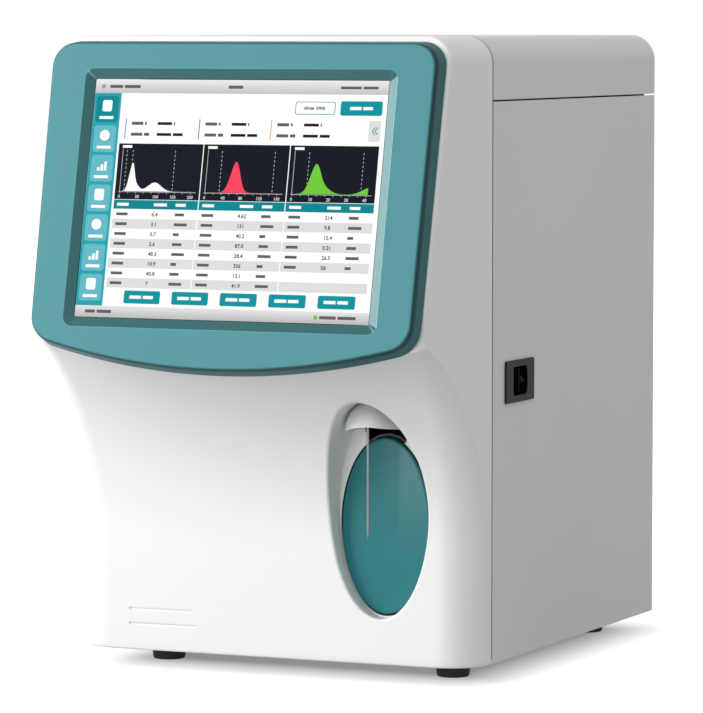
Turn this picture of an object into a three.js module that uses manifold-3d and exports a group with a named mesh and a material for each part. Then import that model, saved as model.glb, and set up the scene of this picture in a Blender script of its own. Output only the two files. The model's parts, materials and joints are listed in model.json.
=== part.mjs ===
// Benchtop blood analyzer: a moulded front with a tilted touch display and a sample bay, a sheet
// metal body with a hinged service door, and the fluid handling and electronics inside.
// Lengths are millimetres. x runs to the viewer's right, y to the back and z up. While the pieces are
// made, y = 0 is the seam behind the front cover and z = 0 is the cover's lower edge.
import * as THREE from "three";
import { mergeVertices } from "three/addons/utils/BufferGeometryUtils.js";
import Module from "manifold-3d";

const wasm = await Module();
wasm.setup();

// Clearances
const gap = 0.3;
const seam = 0.9;
const overrun = 5;
const overlap = 0.5;
const swingGap = 0.6;

// Body
const bodyWidth = 296;
const bodyDepth = 301;
const bodyHeight = 412.7;
const topRadius = 18;
const topWall = 2;
const sheet = 1.5;
const topSide = 42.7;
const panelTopGap = 2;
const panelLift = 0.5;
const flangeDepth = 10;
const rearInset = 14;
const plateThickness = 2;

// Front cover
const frontDepth = 30.4;
const coverWall = 3;
const lowCorner = 28;
const highCorner = 14;
const rimCorner = 4;
const sideDraftShare = 0.09;
const flareHeight = 120;
const flareRise = 135;
const flareReach = 120;
const flareTopHeight = 240;
const crestRise = 5;
const seatRim = 1.2;
const seatDepth = 11;
const grooveHeight = 2;
const grooveDepth = 1;
const grooveStart = -104;
const upperGrooveLength = 46.9;
const lowerGrooveLength = 52;
const upperGrooveZ = 27.9;
const lowerGrooveZ = 17.8;

// Display and bezel, measured in the plane of the screen
const tiltDegrees = 12.1;
const screenWidth = 211.2;
const screenHeight = 158.4;
const screenY = -88;
const screenZ = 306.8;
const bezelThickness = 12.75;
const bezelFace = 2.85;
const bezelTop = 108.3;
const bezelBottom = 114.2;
const bezelRise = 16.5;
const bezelRiseSpan = 126;
const bezelUpperHalf = 140.4;
const bezelLowerHalf = 138.4;
const bezelUpperCorner = 17;
const bezelLowerCorner = 19;
const bezelLean = 1.9;
const bezelTopLean = 2.7;
const bezelFillet = 2.2;
const windowBevel = 6.6;
const windowCorner = 6.5;
const windowMargin = 0.5;
const glassBorder = 9;
const glassThickness = 1.5;
const moduleThickness = 11;
const bracketThickness = 1.5;
const bracketBorder = 5;

// Sample bay, with the oval key in its floor
const bayInset = 67.5;
const bayZ = 102.9;
const bayHalfWidth = 36;
const bayHalfHeight = 73.4;
const bayDepth = 13;
const bayFloorDrop = 3.6;
const bayFloorNarrowing = 2.8;
const bayWall = 2.6;
const keyShift = 0.5;
const keyZ = 90.6;
const keyHalfWidth = 31.5;
const keyHalfHeight = 58.4;
const keyProud = 1.5;
const keyCrown = 2.5;
const keyThickness = 5;
const keyCrownShares = [0.3, 0.55, 0.76, 0.92];
const keyClearance = 0.9;
const keyTravel = 3;
const keyStemRadius = 5;
const keyStemLength = 22;
const keyCupDepth = 16;
const keyCupWall = 2;
const switchWidth = 16;
const switchHeight = 10;
const switchDepth = 9;
const springWire = 1.2;
const keySpringRadius = 8;
const throatTopHalf = 20;
const throatBottomHalf = 13;
const throatTopZ = 166;

// Probe hood
const hoodShift = 2.5;
const hoodY = -38;
const hoodHalfWidth = 21;
const hoodReach = 16;
const hoodWall = 2;
const hoodLowerZ = 156;
const hoodSteps = 12;

// Probe and its lift
const probeY = -47.7;
const probeRadius = 0.8;
const probeTipZ = 85;
const probeTipLength = 4;
const probeCollar = 2.5;
const probePassage = 6;
const wipeRadius = 7;
const wipeHeight = 6;
const liftShelfZ = 186;
const liftTopZ = 318;
const liftShelf = 3;
const liftPlate = 2;
const liftPlateY = -12;
const liftHalfWidth = 26;
const liftFlangeLength = 70;
const carriageHeight = 14;
const carriageBottomZ = 198;
const carriageHalfWidth = 20;
const carriageDepth = 26;
const guideRadius = 2.5;
const guideOffset = 14;
const guideSetback = 12;
const pulleyRadius = 8;
const pulleyWidth = 6;
const pulleyHub = 5;
const pulleySetback = 26.2;
const beltThickness = 1;
const beltWidth = 5;
const drivePulleyZ = 303;
const idlerPulleyZ = 203;
const liftMotorSize = 35;
const liftMotorDepth = 30;
const shaftRadius = 2;

// Partition, baths and valves
const partitionX = 4;
const partitionFront = 12;
const partitionDrop = 2;
const partitionFoot = 14;
const shelfMargin = 6.8;
const shelfZ = 140;
const shelfThickness = 3;
const shelfLeg = 30;
const bathRadius = 17;
const bathWall = 2;
const bathDepth = 38;
const bathFlange = 3;
const bathFlangeThickness = 2.5;
const bathRise = 28;
const bathPitch = 48;
const firstBathY = 62;
const nippleRadius = 4;
const nippleLength = 10;
const drainSize = 22;
const drainHeight = 26;
const drainCoilRadius = 8;
const drainCoilLength = 20;
const manifoldLength = 120;
const manifoldDepth = 16;
const manifoldHeight = 24;
const manifoldFront = 44;
const valveCount = 5;
const valveRadius = 8;
const valveLength = 22;
const valveBaseThickness = 4;
const chamberRadius = 22;
const chamberHeight = 62;
const chamberInset = 34;
const chamberY = 58;
const chamberNeck = 7;
const chamberNeckHeight = 9;
const chamberShoulder = 5;

// Syringe pump
const pumpX = 36;
const pumpSetback = 73;
const pumpFrameWall = 3;
const pumpFrameHalf = 38;
const pumpFrameHeight = 182;
const pumpGap = 3;
const pumpShelfDepth = 44;
const barrelLength = 78;
const barrelWall = 1.6;
const smallBarrelRadius = 6;
const largeBarrelRadius = 12;
const smallBarrelOffset = -22;
const largeBarrelOffset = 20;
const plungerClearance = 0.4;
const plungerHead = 10;
const plungerRodRadius = 2.5;
const crossheadHeight = 10;
const crossheadGap = 1;
const plungerTravel = 50;
const crossheadHalf = 34;
const crossheadDepth = 14;
const syringeMotorSize = 36;
const syringeMotorHeight = 30;
const screwRadius = 3;

// Waste pump
const wasteInset = 50;
const wasteSetback = 63;
const wasteZ = 40;
const wasteHousingRadius = 30;
const wasteHousingDepth = 18;
const wasteWall = 4;
const wasteMotorRadius = 17;
const wasteMotorLength = 40;
const rotorRadius = 18;
const rollerRadius = 6;
const rollerOrbit = 15;
const rotorHub = 6;
const rotorWidth = 11;
const rotorDisc = 2.3;

// Electronics
const supplyInset = 70;
const supplyWidth = 96;
const supplyDepth = 150;
const supplyHeight = 42;
const supplySetback = 49;
const boardThickness = 1.6;
const boardSetback = 35;
const boardHeight = 180;
const boardY = 60;
const boardZ = 110;
const standoff = 7;
const standoffRadius = 3.5;
const standoffInset = 10;
const chipHeight = 3;
const chipSize = 34;
const chipShares = [[0.3, 0.62, 1], [0.68, 0.7, 0.7], [0.62, 0.32, 0.6]];
const edgeConnectorShares = [0.15, 0.85];
const edgeConnectorDepth = 11;
const edgeConnectorHeight = 8.5;

// Fan
const fanInset = 66;
const fanDrop = 70;
const fanSize = 80;
const fanDepth = 25;
const fanBore = 37;
const fanHub = 17;
const fanBlade = 34;
const fanBladeThickness = 1.8;
const fanBladeCount = 7;
const fanShaftRadius = 3;
const fanSpoke = 5;
const guardRadius = 38;
const guardBar = 2.4;
const guardThickness = 2;
const guardRings = 3;

// Rear fittings
const inletInset = 44;
const inletZ = 60;
const inletMargin = 8;
const inletFlange = 3;
const inletSocketWidth = 24.4;
const inletSocketHeight = 16.8;
const inletBodyDepth = 20;
const inletSocketDepth = 17;
const inletBladeWidth = 4;
const inletBladeThickness = 2;
const inletBladeLength = 13;
const inletBladePitch = 7;
const rockerPitch = 34;
const rockerFrameHeight = 32;
const rockerHeight = 24;
const rockerWidth = 14;
const rockerDepth = 7;
const rockerRise = 3.2;
const rockerTiltDegrees = 8;
const portX = -24;
const portGap = 4;
const portPlateWidth = 34;
const portPlateHeight = 64;
const portPlateThickness = 2;
const serialWidth = 13.2;
const serialHeight = 6;
const lanWidth = 13;
const lanHeight = 11;
const portDepth = 12;
const portBodyMargin = 2;
const fittingInset = 52;
const fittingZ = 200;
const fittingPlateWidth = 84;
const fittingPlateHeight = 26;
const fittingPlateThickness = 3;
const fittingCount = 4;
const fittingPitch = 20;
const fittingRadius = 4;
const fittingBore = 1.6;
const fittingReach = 11;
const barbRise = 1;
const portPitch = 20;
const frameLip = 2.5;

// Hinge and latch of the service door
const hingeAxisInset = 6;
const hingeAxisSetback = 8;
const hingeRadius = 4;
const hingePin = 1.9;
const hingePinRise = 8;
const hingeLeaf = 2;
const hingeLegHeight = 22;
const hingeLegWidth = 24;
const hingeLegThickness = 1.2;
const lowerHingeZ = 24;
const upperHingeDrop = 40;
const latchY = 45.2;
const latchZ = 184.6;
const latchLength = 49;
const latchHeight = 28;
const latchProud = 1.6;
const latchCorner = 1.5;
const latchBodyMargin = 3;
const latchBodyDepth = 15;
const pocketLength = 26;
const pocketHeight = 18.6;
const pocketDepth = 11;
const sliderTravel = 5;
const sliderThickness = 2;
const sliderRib = 5;
const tongueHeight = 6;
const tongueThickness = 3;
const tongueLength = 30;
const stemWidth = 5;
const latchSpringRadius = 2.6;
const latchSpringWire = 0.7;

// Feet
const footHeight = 14.2;
const footBottomRadius = 11;
const footTopRadius = 12.8;
const footChamfer = 1.2;
const footInset = 42;
const frontFootY = 34;
const rearFootInset = 21;

// Values that follow from the sizes
const half = bodyWidth / 2;
const tilt = THREE.MathUtils.degToRad(tiltDegrees);
const seatOffset = bezelThickness - bezelFace + gap;
const panelFront = seam - gap;
const rearPlaneY = bodyDepth - rearInset;
const rearInnerY = rearPlaneY - plateThickness;
const floorZ = 2 * gap + plateThickness;
const bayFloorY = -frontDepth + bayDepth;
const bayBackY = bayFloorY + coverWall;
const panelHeight = bodyHeight - topSide;
const skirtZ = panelHeight + panelTopGap;
const partitionTop = panelHeight - partitionDrop;
const bayX = half - bayInset;
const keyX = bayX - keyShift;
const probeX = keyX;
const hoodX = bayX + hoodShift;
const chamberX = half - chamberInset;
const pumpY = rearInnerY - pumpSetback;
const wasteX = half - wasteInset;
const wasteY = rearInnerY - wasteSetback;
const pumpFrameBottom = wasteZ + wasteMotorRadius + pumpGap;
const pumpFrameTop = pumpFrameBottom + pumpFrameHeight;
const pumpBottom = pumpFrameBottom + syringeMotorHeight;
const crossheadZ = pumpBottom + pumpFrameWall + crossheadGap + plungerTravel;
const manifoldZ = pumpFrameBottom - pumpGap - manifoldHeight;
const supplyX = supplyInset - half;
const supplyRear = rearInnerY - supplySetback;
const boardLength = rearInnerY - boardSetback - boardY;
const fanX = fanInset - half;
const fanZ = panelHeight - fanDrop;
const inletX = inletInset - half;
const rockerX = inletX + rockerPitch;
const portZ = fanZ - (fanSize + portPlateHeight) / 2 - portGap;
const fittingX = half - fittingInset;
const upperHingeZ = panelHeight - upperHingeDrop;
const footX = half - footInset;
const rearFootY = bodyDepth - rearFootInset;

// Shapes

// A closed geometry as a solid that can be cut and joined.
function solidOf(geometry) {
  const bare = geometry.index ? geometry.toNonIndexed() : geometry.clone();
  bare.deleteAttribute("normal");
  bare.deleteAttribute("uv");
  const merged = mergeVertices(bare);
  return new wasm.Manifold(new wasm.Mesh({
    numProp: 3,
    vertProperties: Float32Array.from(merged.attributes.position.array),
    triVerts: Uint32Array.from(merged.index.array),
  }));
}

// A solid as a geometry that a mesh can show.
function geometryOf(solid) {
  const cut = solid.getMesh();
  const geometry = new THREE.BufferGeometry();
  geometry.setAttribute("position", new THREE.BufferAttribute(Float32Array.from(cut.vertProperties), 3));
  geometry.setIndex(new THREE.BufferAttribute(Uint32Array.from(cut.triVerts), 1));
  geometry.computeVertexNormals();
  return geometry;
}

function join(...geometries) {
  return geometryOf(geometries.map(solidOf).reduce((whole, next) => whole.add(next)));
}

function cut(geometry, ...tools) {
  return geometryOf(tools.map(solidOf).reduce((whole, next) => whole.subtract(next), solidOf(geometry)));
}

function common(geometry, other) {
  return geometryOf(solidOf(geometry).intersect(solidOf(other)));
}

// A rectangular block between two values on each axis.
function block([x0, x1], [y0, y1], [z0, z1]) {
  const geometry = new THREE.BoxGeometry(x1 - x0, y1 - y0, z1 - z0);
  return geometry.translate((x0 + x1) / 2, (y0 + y1) / 2, (z0 + z1) / 2);
}

// Local x, y and z of a flat outline that is pushed along the named axis.
const pushFrames = {
  x: new THREE.Matrix4().makeBasis(
    new THREE.Vector3(0, 1, 0), new THREE.Vector3(0, 0, 1), new THREE.Vector3(1, 0, 0)),
  y: new THREE.Matrix4().makeBasis(
    new THREE.Vector3(0, 0, 1), new THREE.Vector3(1, 0, 0), new THREE.Vector3(0, 1, 0)),
  z: new THREE.Matrix4(),
};

// An outline pushed from low to high along an axis: (y, z) along x, (z, x) along y, (x, y) along z.
function prism(axis, outline, [low, high]) {
  const shape = outline instanceof THREE.Shape ? outline : new THREE.Shape(outline);
  const geometry = new THREE.ExtrudeGeometry(shape, {
    depth: high - low, bevelEnabled: false, curveSegments: 3,
  });
  return geometry.translate(0, 0, low).applyMatrix4(pushFrames[axis]);
}

// A straight rod along an axis; its centre is given on the other two axes, in the prism's order.
function rod(axis, [a, b], radius, [low, high], sides = 20) {
  const geometry = new THREE.CylinderGeometry(radius, radius, high - low, sides);
  geometry.rotateX(Math.PI / 2).translate(a, b, (low + high) / 2);
  return geometry.applyMatrix4(pushFrames[axis]);
}

// A profile of [radius, height] points turned about a vertical line through (x, y).
function turned(profile, [x, y], sides = 24) {
  const points = [...profile, profile[0]].map(([radius, height]) => new THREE.Vector2(radius, height));
  return new THREE.LatheGeometry(points, sides).rotateX(Math.PI / 2).translate(x, y, 0);
}

// A rounded rectangle about the origin.
function roundedRectangle(width, height, radius) {
  const [a, b] = [width / 2, height / 2];
  const shape = new THREE.Shape();
  shape.moveTo(a, -b + radius);
  shape.absarc(a - radius, b - radius, radius, 0, Math.PI / 2);
  shape.absarc(-a + radius, b - radius, radius, Math.PI / 2, Math.PI);
  shape.absarc(-a + radius, -b + radius, radius, Math.PI, 1.5 * Math.PI);
  shape.absarc(a - radius, -b + radius, radius, 1.5 * Math.PI, 2 * Math.PI);
  return shape;
}

// The triangles that close a ring, wound with its points or against them.
function capOf(ring, start, flat, withPoints) {
  const outline = ring.map(flat);
  const turn = THREE.ShapeUtils.isClockWise(outline) === withPoints;
  const faces = THREE.ShapeUtils.triangulateShape(outline, []);
  return faces.flatMap(([a, b, c]) => (turn ? [a, c, b] : [a, b, c]).map((i) => start + i));
}

// A skin over closed rings of equal count, with caps; flat gives a cap's points in its own plane.
function loft(rings, flat) {
  const count = rings[0].length;
  const positions = rings.flat().flatMap((point) => [point.x, point.y, point.z]);
  const index = [];
  for (let k = 0; k + 1 < rings.length; k += 1) {
    for (let i = 0; i < count; i += 1) {
      const [a, b] = [k * count + i, k * count + (i + 1) % count];
      index.push(a, b, b + count, a, b + count, a + count);
    }
  }
  index.push(...capOf(rings[0], 0, flat, false));
  index.push(...capOf(rings.at(-1), (rings.length - 1) * count, flat, true));
  return facingOut(positions, index);
}

// Turns a closed skin's triangles to face out, by the sign of the volume that they hold.
function facingOut(positions, index) {
  const [a, b, c] = [new THREE.Vector3(), new THREE.Vector3(), new THREE.Vector3()];
  let volume = 0;
  for (let t = 0; t < index.length; t += 3) {
    a.fromArray(positions, index[t] * 3);
    b.fromArray(positions, index[t + 1] * 3);
    c.fromArray(positions, index[t + 2] * 3);
    volume += a.dot(b.cross(c));
  }
  const geometry = new THREE.BufferGeometry();
  geometry.setAttribute("position", new THREE.Float32BufferAttribute(positions, 3));
  geometry.setIndex(volume < 0 ? index.slice().reverse() : index);
  return geometry;
}

// Points of a round or oval ring in a plane of constant y.
function ovalRing([x, z], [a, b], y, count = 28) {
  return Array.from({ length: count }, (_, i) => {
    const angle = 2 * Math.PI * i / count;
    return new THREE.Vector3(x + a * Math.cos(angle), y, z + b * Math.sin(angle));
  });
}

const onFloor = (point) => new THREE.Vector2(point.x, point.y);
const onFront = (point) => new THREE.Vector2(point.x, point.z);

// The model: bodies that move get a group each, and every piece is a mesh with its own material.
const machine = new THREE.Group();
const display = new THREE.Group();
display.position.set(0, screenY, screenZ);
display.rotation.x = Math.PI / 2 - tilt;
display.updateMatrix();
machine.add(display);

function piece(name, geometry, [color, roughness, metalness = 0], parent = machine) {
  const material = new THREE.MeshStandardMaterial({ color, roughness, metalness });
  const mesh = new THREE.Mesh(geometry, material);
  mesh.name = name;
  parent.add(mesh);
  return mesh;
}

// Finishes: colour, roughness, metalness
const whitePlastic = [0xdfe0de, 0.45];
const paintedSheet = [0xb9bbb8, 0.5];
const tealPlastic = [0x5e999f, 0.4];
const tealKey = [0x3b7a80, 0.3];
const blackPlastic = [0x2a2c2c, 0.6];
const darkGlass = [0x101418, 0.08];
const rubber = [0x2c3030, 0.85];
const zincSheet = [0xa7abad, 0.45, 0.9];
const steel = [0xc4c7c9, 0.25, 1];
const aluminium = [0xb4b8ba, 0.4, 0.9];
const blackAnodised = [0x1d1f21, 0.5, 0.4];
const clearPlastic = [0xd8e6ea, 0.1];
const paleResin = [0xe6e2d6, 0.55];
const boardGreen = [0x1f5a3a, 0.5];

// Display and bezel

// The bezel's lower edge is one wide arc; this is its height over the screen's centre line.
const bezelArcRadius = (bezelRiseSpan ** 2 + bezelRise ** 2) / (2 * bezelRise);
function bezelLowerEdge(x) {
  return -bezelBottom + bezelArcRadius - Math.sqrt(bezelArcRadius ** 2 - x ** 2);
}

// The bezel's outline drawn in by lean on all sides, and by topLean more along the top.
function bezelRing(lean, topLean, depth) {
  const points = [];
  const halfAt = (v) => bezelLowerHalf - lean
    + (bezelUpperHalf - bezelLowerHalf) * (v + bezelBottom) / (bezelTop + bezelBottom);
  const top = bezelTop - lean - topLean;
  const upper = bezelUpperCorner - lean / 2;
  const lower = bezelLowerCorner - lean / 2;
  const cornerSteps = 4;
  const edgeSteps = 8;
  const lowerX = bezelLowerHalf - lean - lower;
  const lowerY = bezelLowerEdge(lowerX) + lean + lower;
  const corner = (x, y, radius, from) => {
    for (let i = 0; i <= cornerSteps; i += 1) {
      const angle = from + Math.PI / 2 * i / cornerSteps;
      points.push(new THREE.Vector3(x + radius * Math.cos(angle), y + radius * Math.sin(angle), depth));
    }
  };
  corner(halfAt(top) - upper, top - upper, upper, 0);
  corner(-halfAt(top) + upper, top - upper, upper, Math.PI / 2);
  corner(-lowerX, lowerY, lower, Math.PI);
  for (let i = 1; i < edgeSteps; i += 1) {
    const x = -lowerX + 2 * lowerX * i / edgeSteps;
    points.push(new THREE.Vector3(x, bezelLowerEdge(x) + lean, depth));
  }
  corner(lowerX, lowerY, lower, 1.5 * Math.PI);
  return points;
}

const bezelBack = bezelFace - bezelThickness;
const glassHalfWidth = screenWidth / 2 + glassBorder;
const glassHalfHeight = screenHeight / 2 + glassBorder;

// A rectangular opening with rounded corners, in the plane of the screen.
function windowPrism(width, height, radius, span) {
  return prism("z", roundedRectangle(width, height, radius), span);
}

function rectangleRing(halfWidth, halfHeight, radius, depth) {
  const points = roundedRectangle(2 * halfWidth, 2 * halfHeight, radius).extractPoints(3).shape;
  return points.map((point) => new THREE.Vector3(point.x, point.y, depth));
}

function makeBezel() {
  const wallTop = bezelFace - bezelFillet;
  const middleShare = 0.3;
  const rings = [
    bezelRing(0, 0, bezelBack),
    bezelRing(bezelLean, bezelTopLean, wallTop),
    bezelRing(bezelLean + bezelFillet * middleShare, bezelTopLean, bezelFace - bezelFillet * middleShare),
    bezelRing(bezelLean + bezelFillet, bezelTopLean, bezelFace),
  ];
  const body = loft(rings, onFloor);
  const innerWidth = screenWidth / 2 + windowMargin;
  const innerHeight = screenHeight / 2 + windowMargin;
  const slopeShare = (bezelFace + overrun) / bezelFace;
  const bevel = loft([
    rectangleRing(innerWidth, innerHeight, windowCorner / 4, 0),
    rectangleRing(innerWidth + windowBevel * slopeShare, innerHeight + windowBevel * slopeShare,
      windowCorner * slopeShare, bezelFace + overrun),
  ], onFloor);
  const through = windowPrism(2 * innerWidth, 2 * innerHeight, windowCorner / 4, [-overrun, gap]);
  const pocket = windowPrism(2 * (glassHalfWidth + gap), 2 * (glassHalfHeight + gap), windowCorner / 4,
    [bezelBack - overrun, 0]);
  return cut(body, bevel, through, pocket);
}

piece("screen_bezel", makeBezel(), tealPlastic, display);
piece("touch_glass", windowPrism(2 * glassHalfWidth, 2 * glassHalfHeight, windowCorner / 4,
  [-gap - glassThickness, -gap]), darkGlass, display);
const moduleFront = -2 * gap - glassThickness;
const moduleBack = moduleFront - moduleThickness;
piece("lcd_module", join(
  windowPrism(2 * glassHalfWidth, 2 * glassHalfHeight, windowCorner / 4,
    [moduleBack - gap - overlap, moduleFront]),
  windowPrism(2 * (glassHalfWidth + bracketBorder), 2 * (glassHalfHeight + bracketBorder), windowCorner,
    [moduleBack - gap - bracketThickness, moduleBack - gap]),
), zincSheet, display);

// Front cover

// Height of the bezel's lower edge over the cover's bottom, on the plane that the bezel sits on.
function edgeZ(x) {
  return screenZ + bezelLowerEdge(Math.min(Math.abs(x), bezelLowerHalf)) * Math.cos(tilt)
    - seatOffset * Math.sin(tilt);
}

// How far the plane behind the bezel lies ahead of the seam, at a height.
function planeReach(z) {
  return -screenY - (seatOffset + (z - screenZ) * Math.sin(tilt)) / Math.cos(tilt);
}

// The neck flares forward under the bezel as a quarter of an ellipse that follows the bezel's edge.
function frontReach(x, z) {
  const climb = THREE.MathUtils.clamp(z - edgeZ(x) + flareHeight, 0, flareRise);
  const flare = flareReach * (1 - Math.sqrt(1 - (climb / flareRise) ** 2));
  return Math.min(planeReach(z), frontDepth + flare);
}

const flareStart = edgeZ(0) - flareHeight;
const crestZ = edgeZ(0) + crestRise;

// The upright corner's radius: wide at the bottom, tighter up the neck, and a small rim by the bezel.
function cornerRadius(level) {
  const up = THREE.MathUtils.clamp((level - flareStart) / flareHeight, 0, 1);
  const over = THREE.MathUtils.clamp((level - edgeZ(0)) / (flareTopHeight - edgeZ(0)), 0, 1);
  return THREE.MathUtils.lerp(THREE.MathUtils.lerp(lowCorner, highCorner, up), rimCorner, Math.sqrt(over));
}

// Half the width at a height, drawn in over the rounded top edges.
function halfWidthAt(z, inset) {
  const radius = topRadius - inset;
  const over = Math.max(0, z - (bodyHeight - topRadius));
  return half - inset - radius + Math.sqrt(Math.max(0, radius ** 2 - over ** 2));
}

// A ring's height at x: on the neck a ring runs along the bezel's edge, elsewhere it is level.
function ringZ(level, x) {
  const below = (level - flareStart / 2) / (flareStart / 2);
  const above = (flareTopHeight - level) / (flareTopHeight - crestZ);
  const bendShare = THREE.MathUtils.clamp(Math.min(below, above), 0, 1);
  return level + bendShare * (edgeZ(x) - edgeZ(0));
}

// One ring of the cover: back right, round the front, back left.
function coverRing(level, inset, back, cornerSteps, frontSteps) {
  const radius = Math.max(cornerRadius(level) - inset, rimCorner / 2);
  const wide = halfWidthAt(ringZ(level, half), inset);
  const reachAt = (x) => frontReach(x, ringZ(level, x)) - inset;
  const shoulder = wide - sideDraftShare * Math.max(0, reachAt(wide) - radius);
  const right = [];
  for (let i = 0; i <= cornerSteps; i += 1) {
    const angle = Math.PI / 2 * i / cornerSteps;
    const x = shoulder - radius * (1 - Math.cos(angle));
    right.push([x, radius * (1 - Math.sin(angle)) - reachAt(x)]);
  }
  const inner = right.at(-1)[0];
  const across = Array.from({ length: frontSteps - 1 }, (_, i) => {
    const x = inner - 2 * inner * (i + 1) / frontSteps;
    return [x, -reachAt(x)];
  });
  const left = right.map(([x, y]) => [-x, y]).reverse();
  const line = [[wide, back], ...right, ...across, ...left, [-wide, back]];
  return line.map(([x, y]) => new THREE.Vector3(x, y, ringZ(level, x)));
}

// The rings' levels: few on the straight parts, close on the neck and over the rounded top.
function coverLevels(low, high, neckSteps, topSteps) {
  const levels = [low];
  for (let i = 0; i <= neckSteps; i += 1) {
    levels.push(flareStart + flareHeight * i / neckSteps);
  }
  levels.push((edgeZ(0) + crestZ) / 2, crestZ, flareTopHeight);
  const shoulderZ = bodyHeight - topRadius;
  for (let i = 0; i <= topSteps; i += 1) {
    levels.push(shoulderZ + (high - shoulderZ) * Math.sin(Math.PI / 2 * i / topSteps));
  }
  return levels;
}

// The bay's hollow, grown by a wall: upright walls down from the front, rounded into the floor.
function bayHollow(grow, floorY) {
  const steps = 3;
  const front = -frontDepth - flareReach;
  const rings = [ovalRing([bayX, bayZ], [bayHalfWidth + grow, bayHalfHeight + grow], front)];
  for (let i = 0; i <= steps; i += 1) {
    const turnShare = 1 - Math.cos(Math.PI / 2 * i / steps);
    const narrow = bayFloorNarrowing * turnShare;
    const lower = bayFloorDrop * turnShare;
    const y = THREE.MathUtils.lerp(-frontDepth, floorY, Math.sin(Math.PI / 2 * i / steps));
    rings.push(ovalRing([bayX, bayZ - lower / 2],
      [bayHalfWidth + grow - narrow, bayHalfHeight + grow - lower / 2], y));
  }
  return loft(rings, onFront);
}

// The key's oval, grown by a clearance or a wall.
function keyRing(grow, y) {
  return ovalRing([keyX, keyZ], [keyHalfWidth + grow, keyHalfHeight + grow], y);
}

function makeFrontCover() {
  const back = bodyDepth;
  const outer = loft(coverLevels(0, bodyHeight, 8, 4)
    .map((level) => coverRing(level, 0, -gap, 5, 10)), onFloor);
  const inner = loft(coverLevels(coverWall, bodyHeight - coverWall, 6, 3)
    .map((level) => coverRing(level, coverWall, overrun, 3, 8)), onFloor);
  const seat = loft([
    bezelRing(seatRim, 0, bezelBack - gap - seatDepth),
    bezelRing(seatRim, 0, bezelBack - gap),
  ], onFloor).applyMatrix4(display.matrix);
  const behindSeat = block([-half, half], [-back, back], [0, bodyHeight]);
  const tub = common(bayHollow(bayWall, bayBackY), outer);
  const shell = join(cut(outer, inner), common(cut(seat, inner), behindSeat), tub);
  const window = windowPrism(2 * (glassHalfWidth + gap), 2 * (glassHalfHeight + gap), windowCorner / 4,
    [moduleBack - 2 * seatDepth, 0]).applyMatrix4(display.matrix);
  const keyHole = loft([
    keyRing(keyClearance, bayFloorY - overrun),
    keyRing(keyClearance, bayBackY + overrun),
  ], onFront);
  const throatBottomZ = keyZ + keyHalfHeight - coverWall;
  const throat = prism("y", [
    new THREE.Vector2(throatTopZ, bayX - throatTopHalf), new THREE.Vector2(throatTopZ, bayX + throatTopHalf),
    new THREE.Vector2(throatBottomZ, bayX + throatBottomHalf),
    new THREE.Vector2(throatBottomZ, bayX - throatBottomHalf),
  ], [bayFloorY - gap, bayBackY + overrun]);
  const passage = rod("z", [probeX, probeY], probePassage, [bayZ + bayHalfHeight - coverWall, liftShelfZ]);
  const groove = (length, z) => block([grooveStart, grooveStart + length],
    [-frontDepth - overrun, -frontDepth + grooveDepth], [z - grooveHeight / 2, z + grooveHeight / 2]);
  return cut(shell, window, bayHollow(0, bayFloorY), keyHole, throat, passage,
    groove(upperGrooveLength, upperGrooveZ), groove(lowerGrooveLength, lowerGrooveZ));
}

piece("front_cover", makeFrontCover(), whitePlastic);

// Sample bay: hood, key and probe

// A U in plan whose nose is half an oval, trimmed to the bay so that it hangs from the bay's roof.
function makeHood() {
  const back = bayFloorY - gap;
  const outline = (inset, rear) => {
    const points = [new THREE.Vector2(hoodX - hoodHalfWidth + inset, rear)];
    for (let i = 0; i <= hoodSteps; i += 1) {
      const angle = Math.PI * i / hoodSteps;
      const reach = (hoodReach - inset) * Math.sin(angle);
      points.push(new THREE.Vector2(hoodX - (hoodHalfWidth - inset) * Math.cos(angle), hoodY - reach));
    }
    points.push(new THREE.Vector2(hoodX + hoodHalfWidth - inset, rear));
    return points;
  };
  const top = bayZ + bayHalfHeight;
  const shell = cut(
    prism("z", outline(0, back), [hoodLowerZ, top]),
    prism("z", outline(hoodWall, back + overrun), [hoodLowerZ - overrun, top + overrun]));
  return common(shell, bayHollow(-gap, bayFloorY - gap));
}

piece("probe_hood", makeHood(), whitePlastic);

const keyFaceY = bayFloorY - keyProud;
const keyBackY = keyFaceY + keyThickness;

// An oval plate with a crowned face, a rounded rim and a stem on its back.
function makeKey() {
  const rings = keyCrownShares.map((share) => ovalRing([keyX, keyZ],
    [keyHalfWidth * share, keyHalfHeight * share], keyFaceY - keyCrown * (1 - share ** 2)));
  rings.push(keyRing(0, keyFaceY), keyRing(0, keyBackY));
  const stem = rod("y", [keyZ, keyX], keyStemRadius,
    [keyBackY - keyThickness / 2, keyBackY + keyStemLength], 16);
  return join(loft(rings, onFront), stem);
}

piece("aspirate_key", makeKey(), tealKey);

const cupFrontY = bayBackY + gap;
const cupFloorY = cupFrontY + keyCupDepth;
const stemEndY = keyBackY + keyStemLength;
const switchFrontY = stemEndY + keyTravel + gap;

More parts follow.
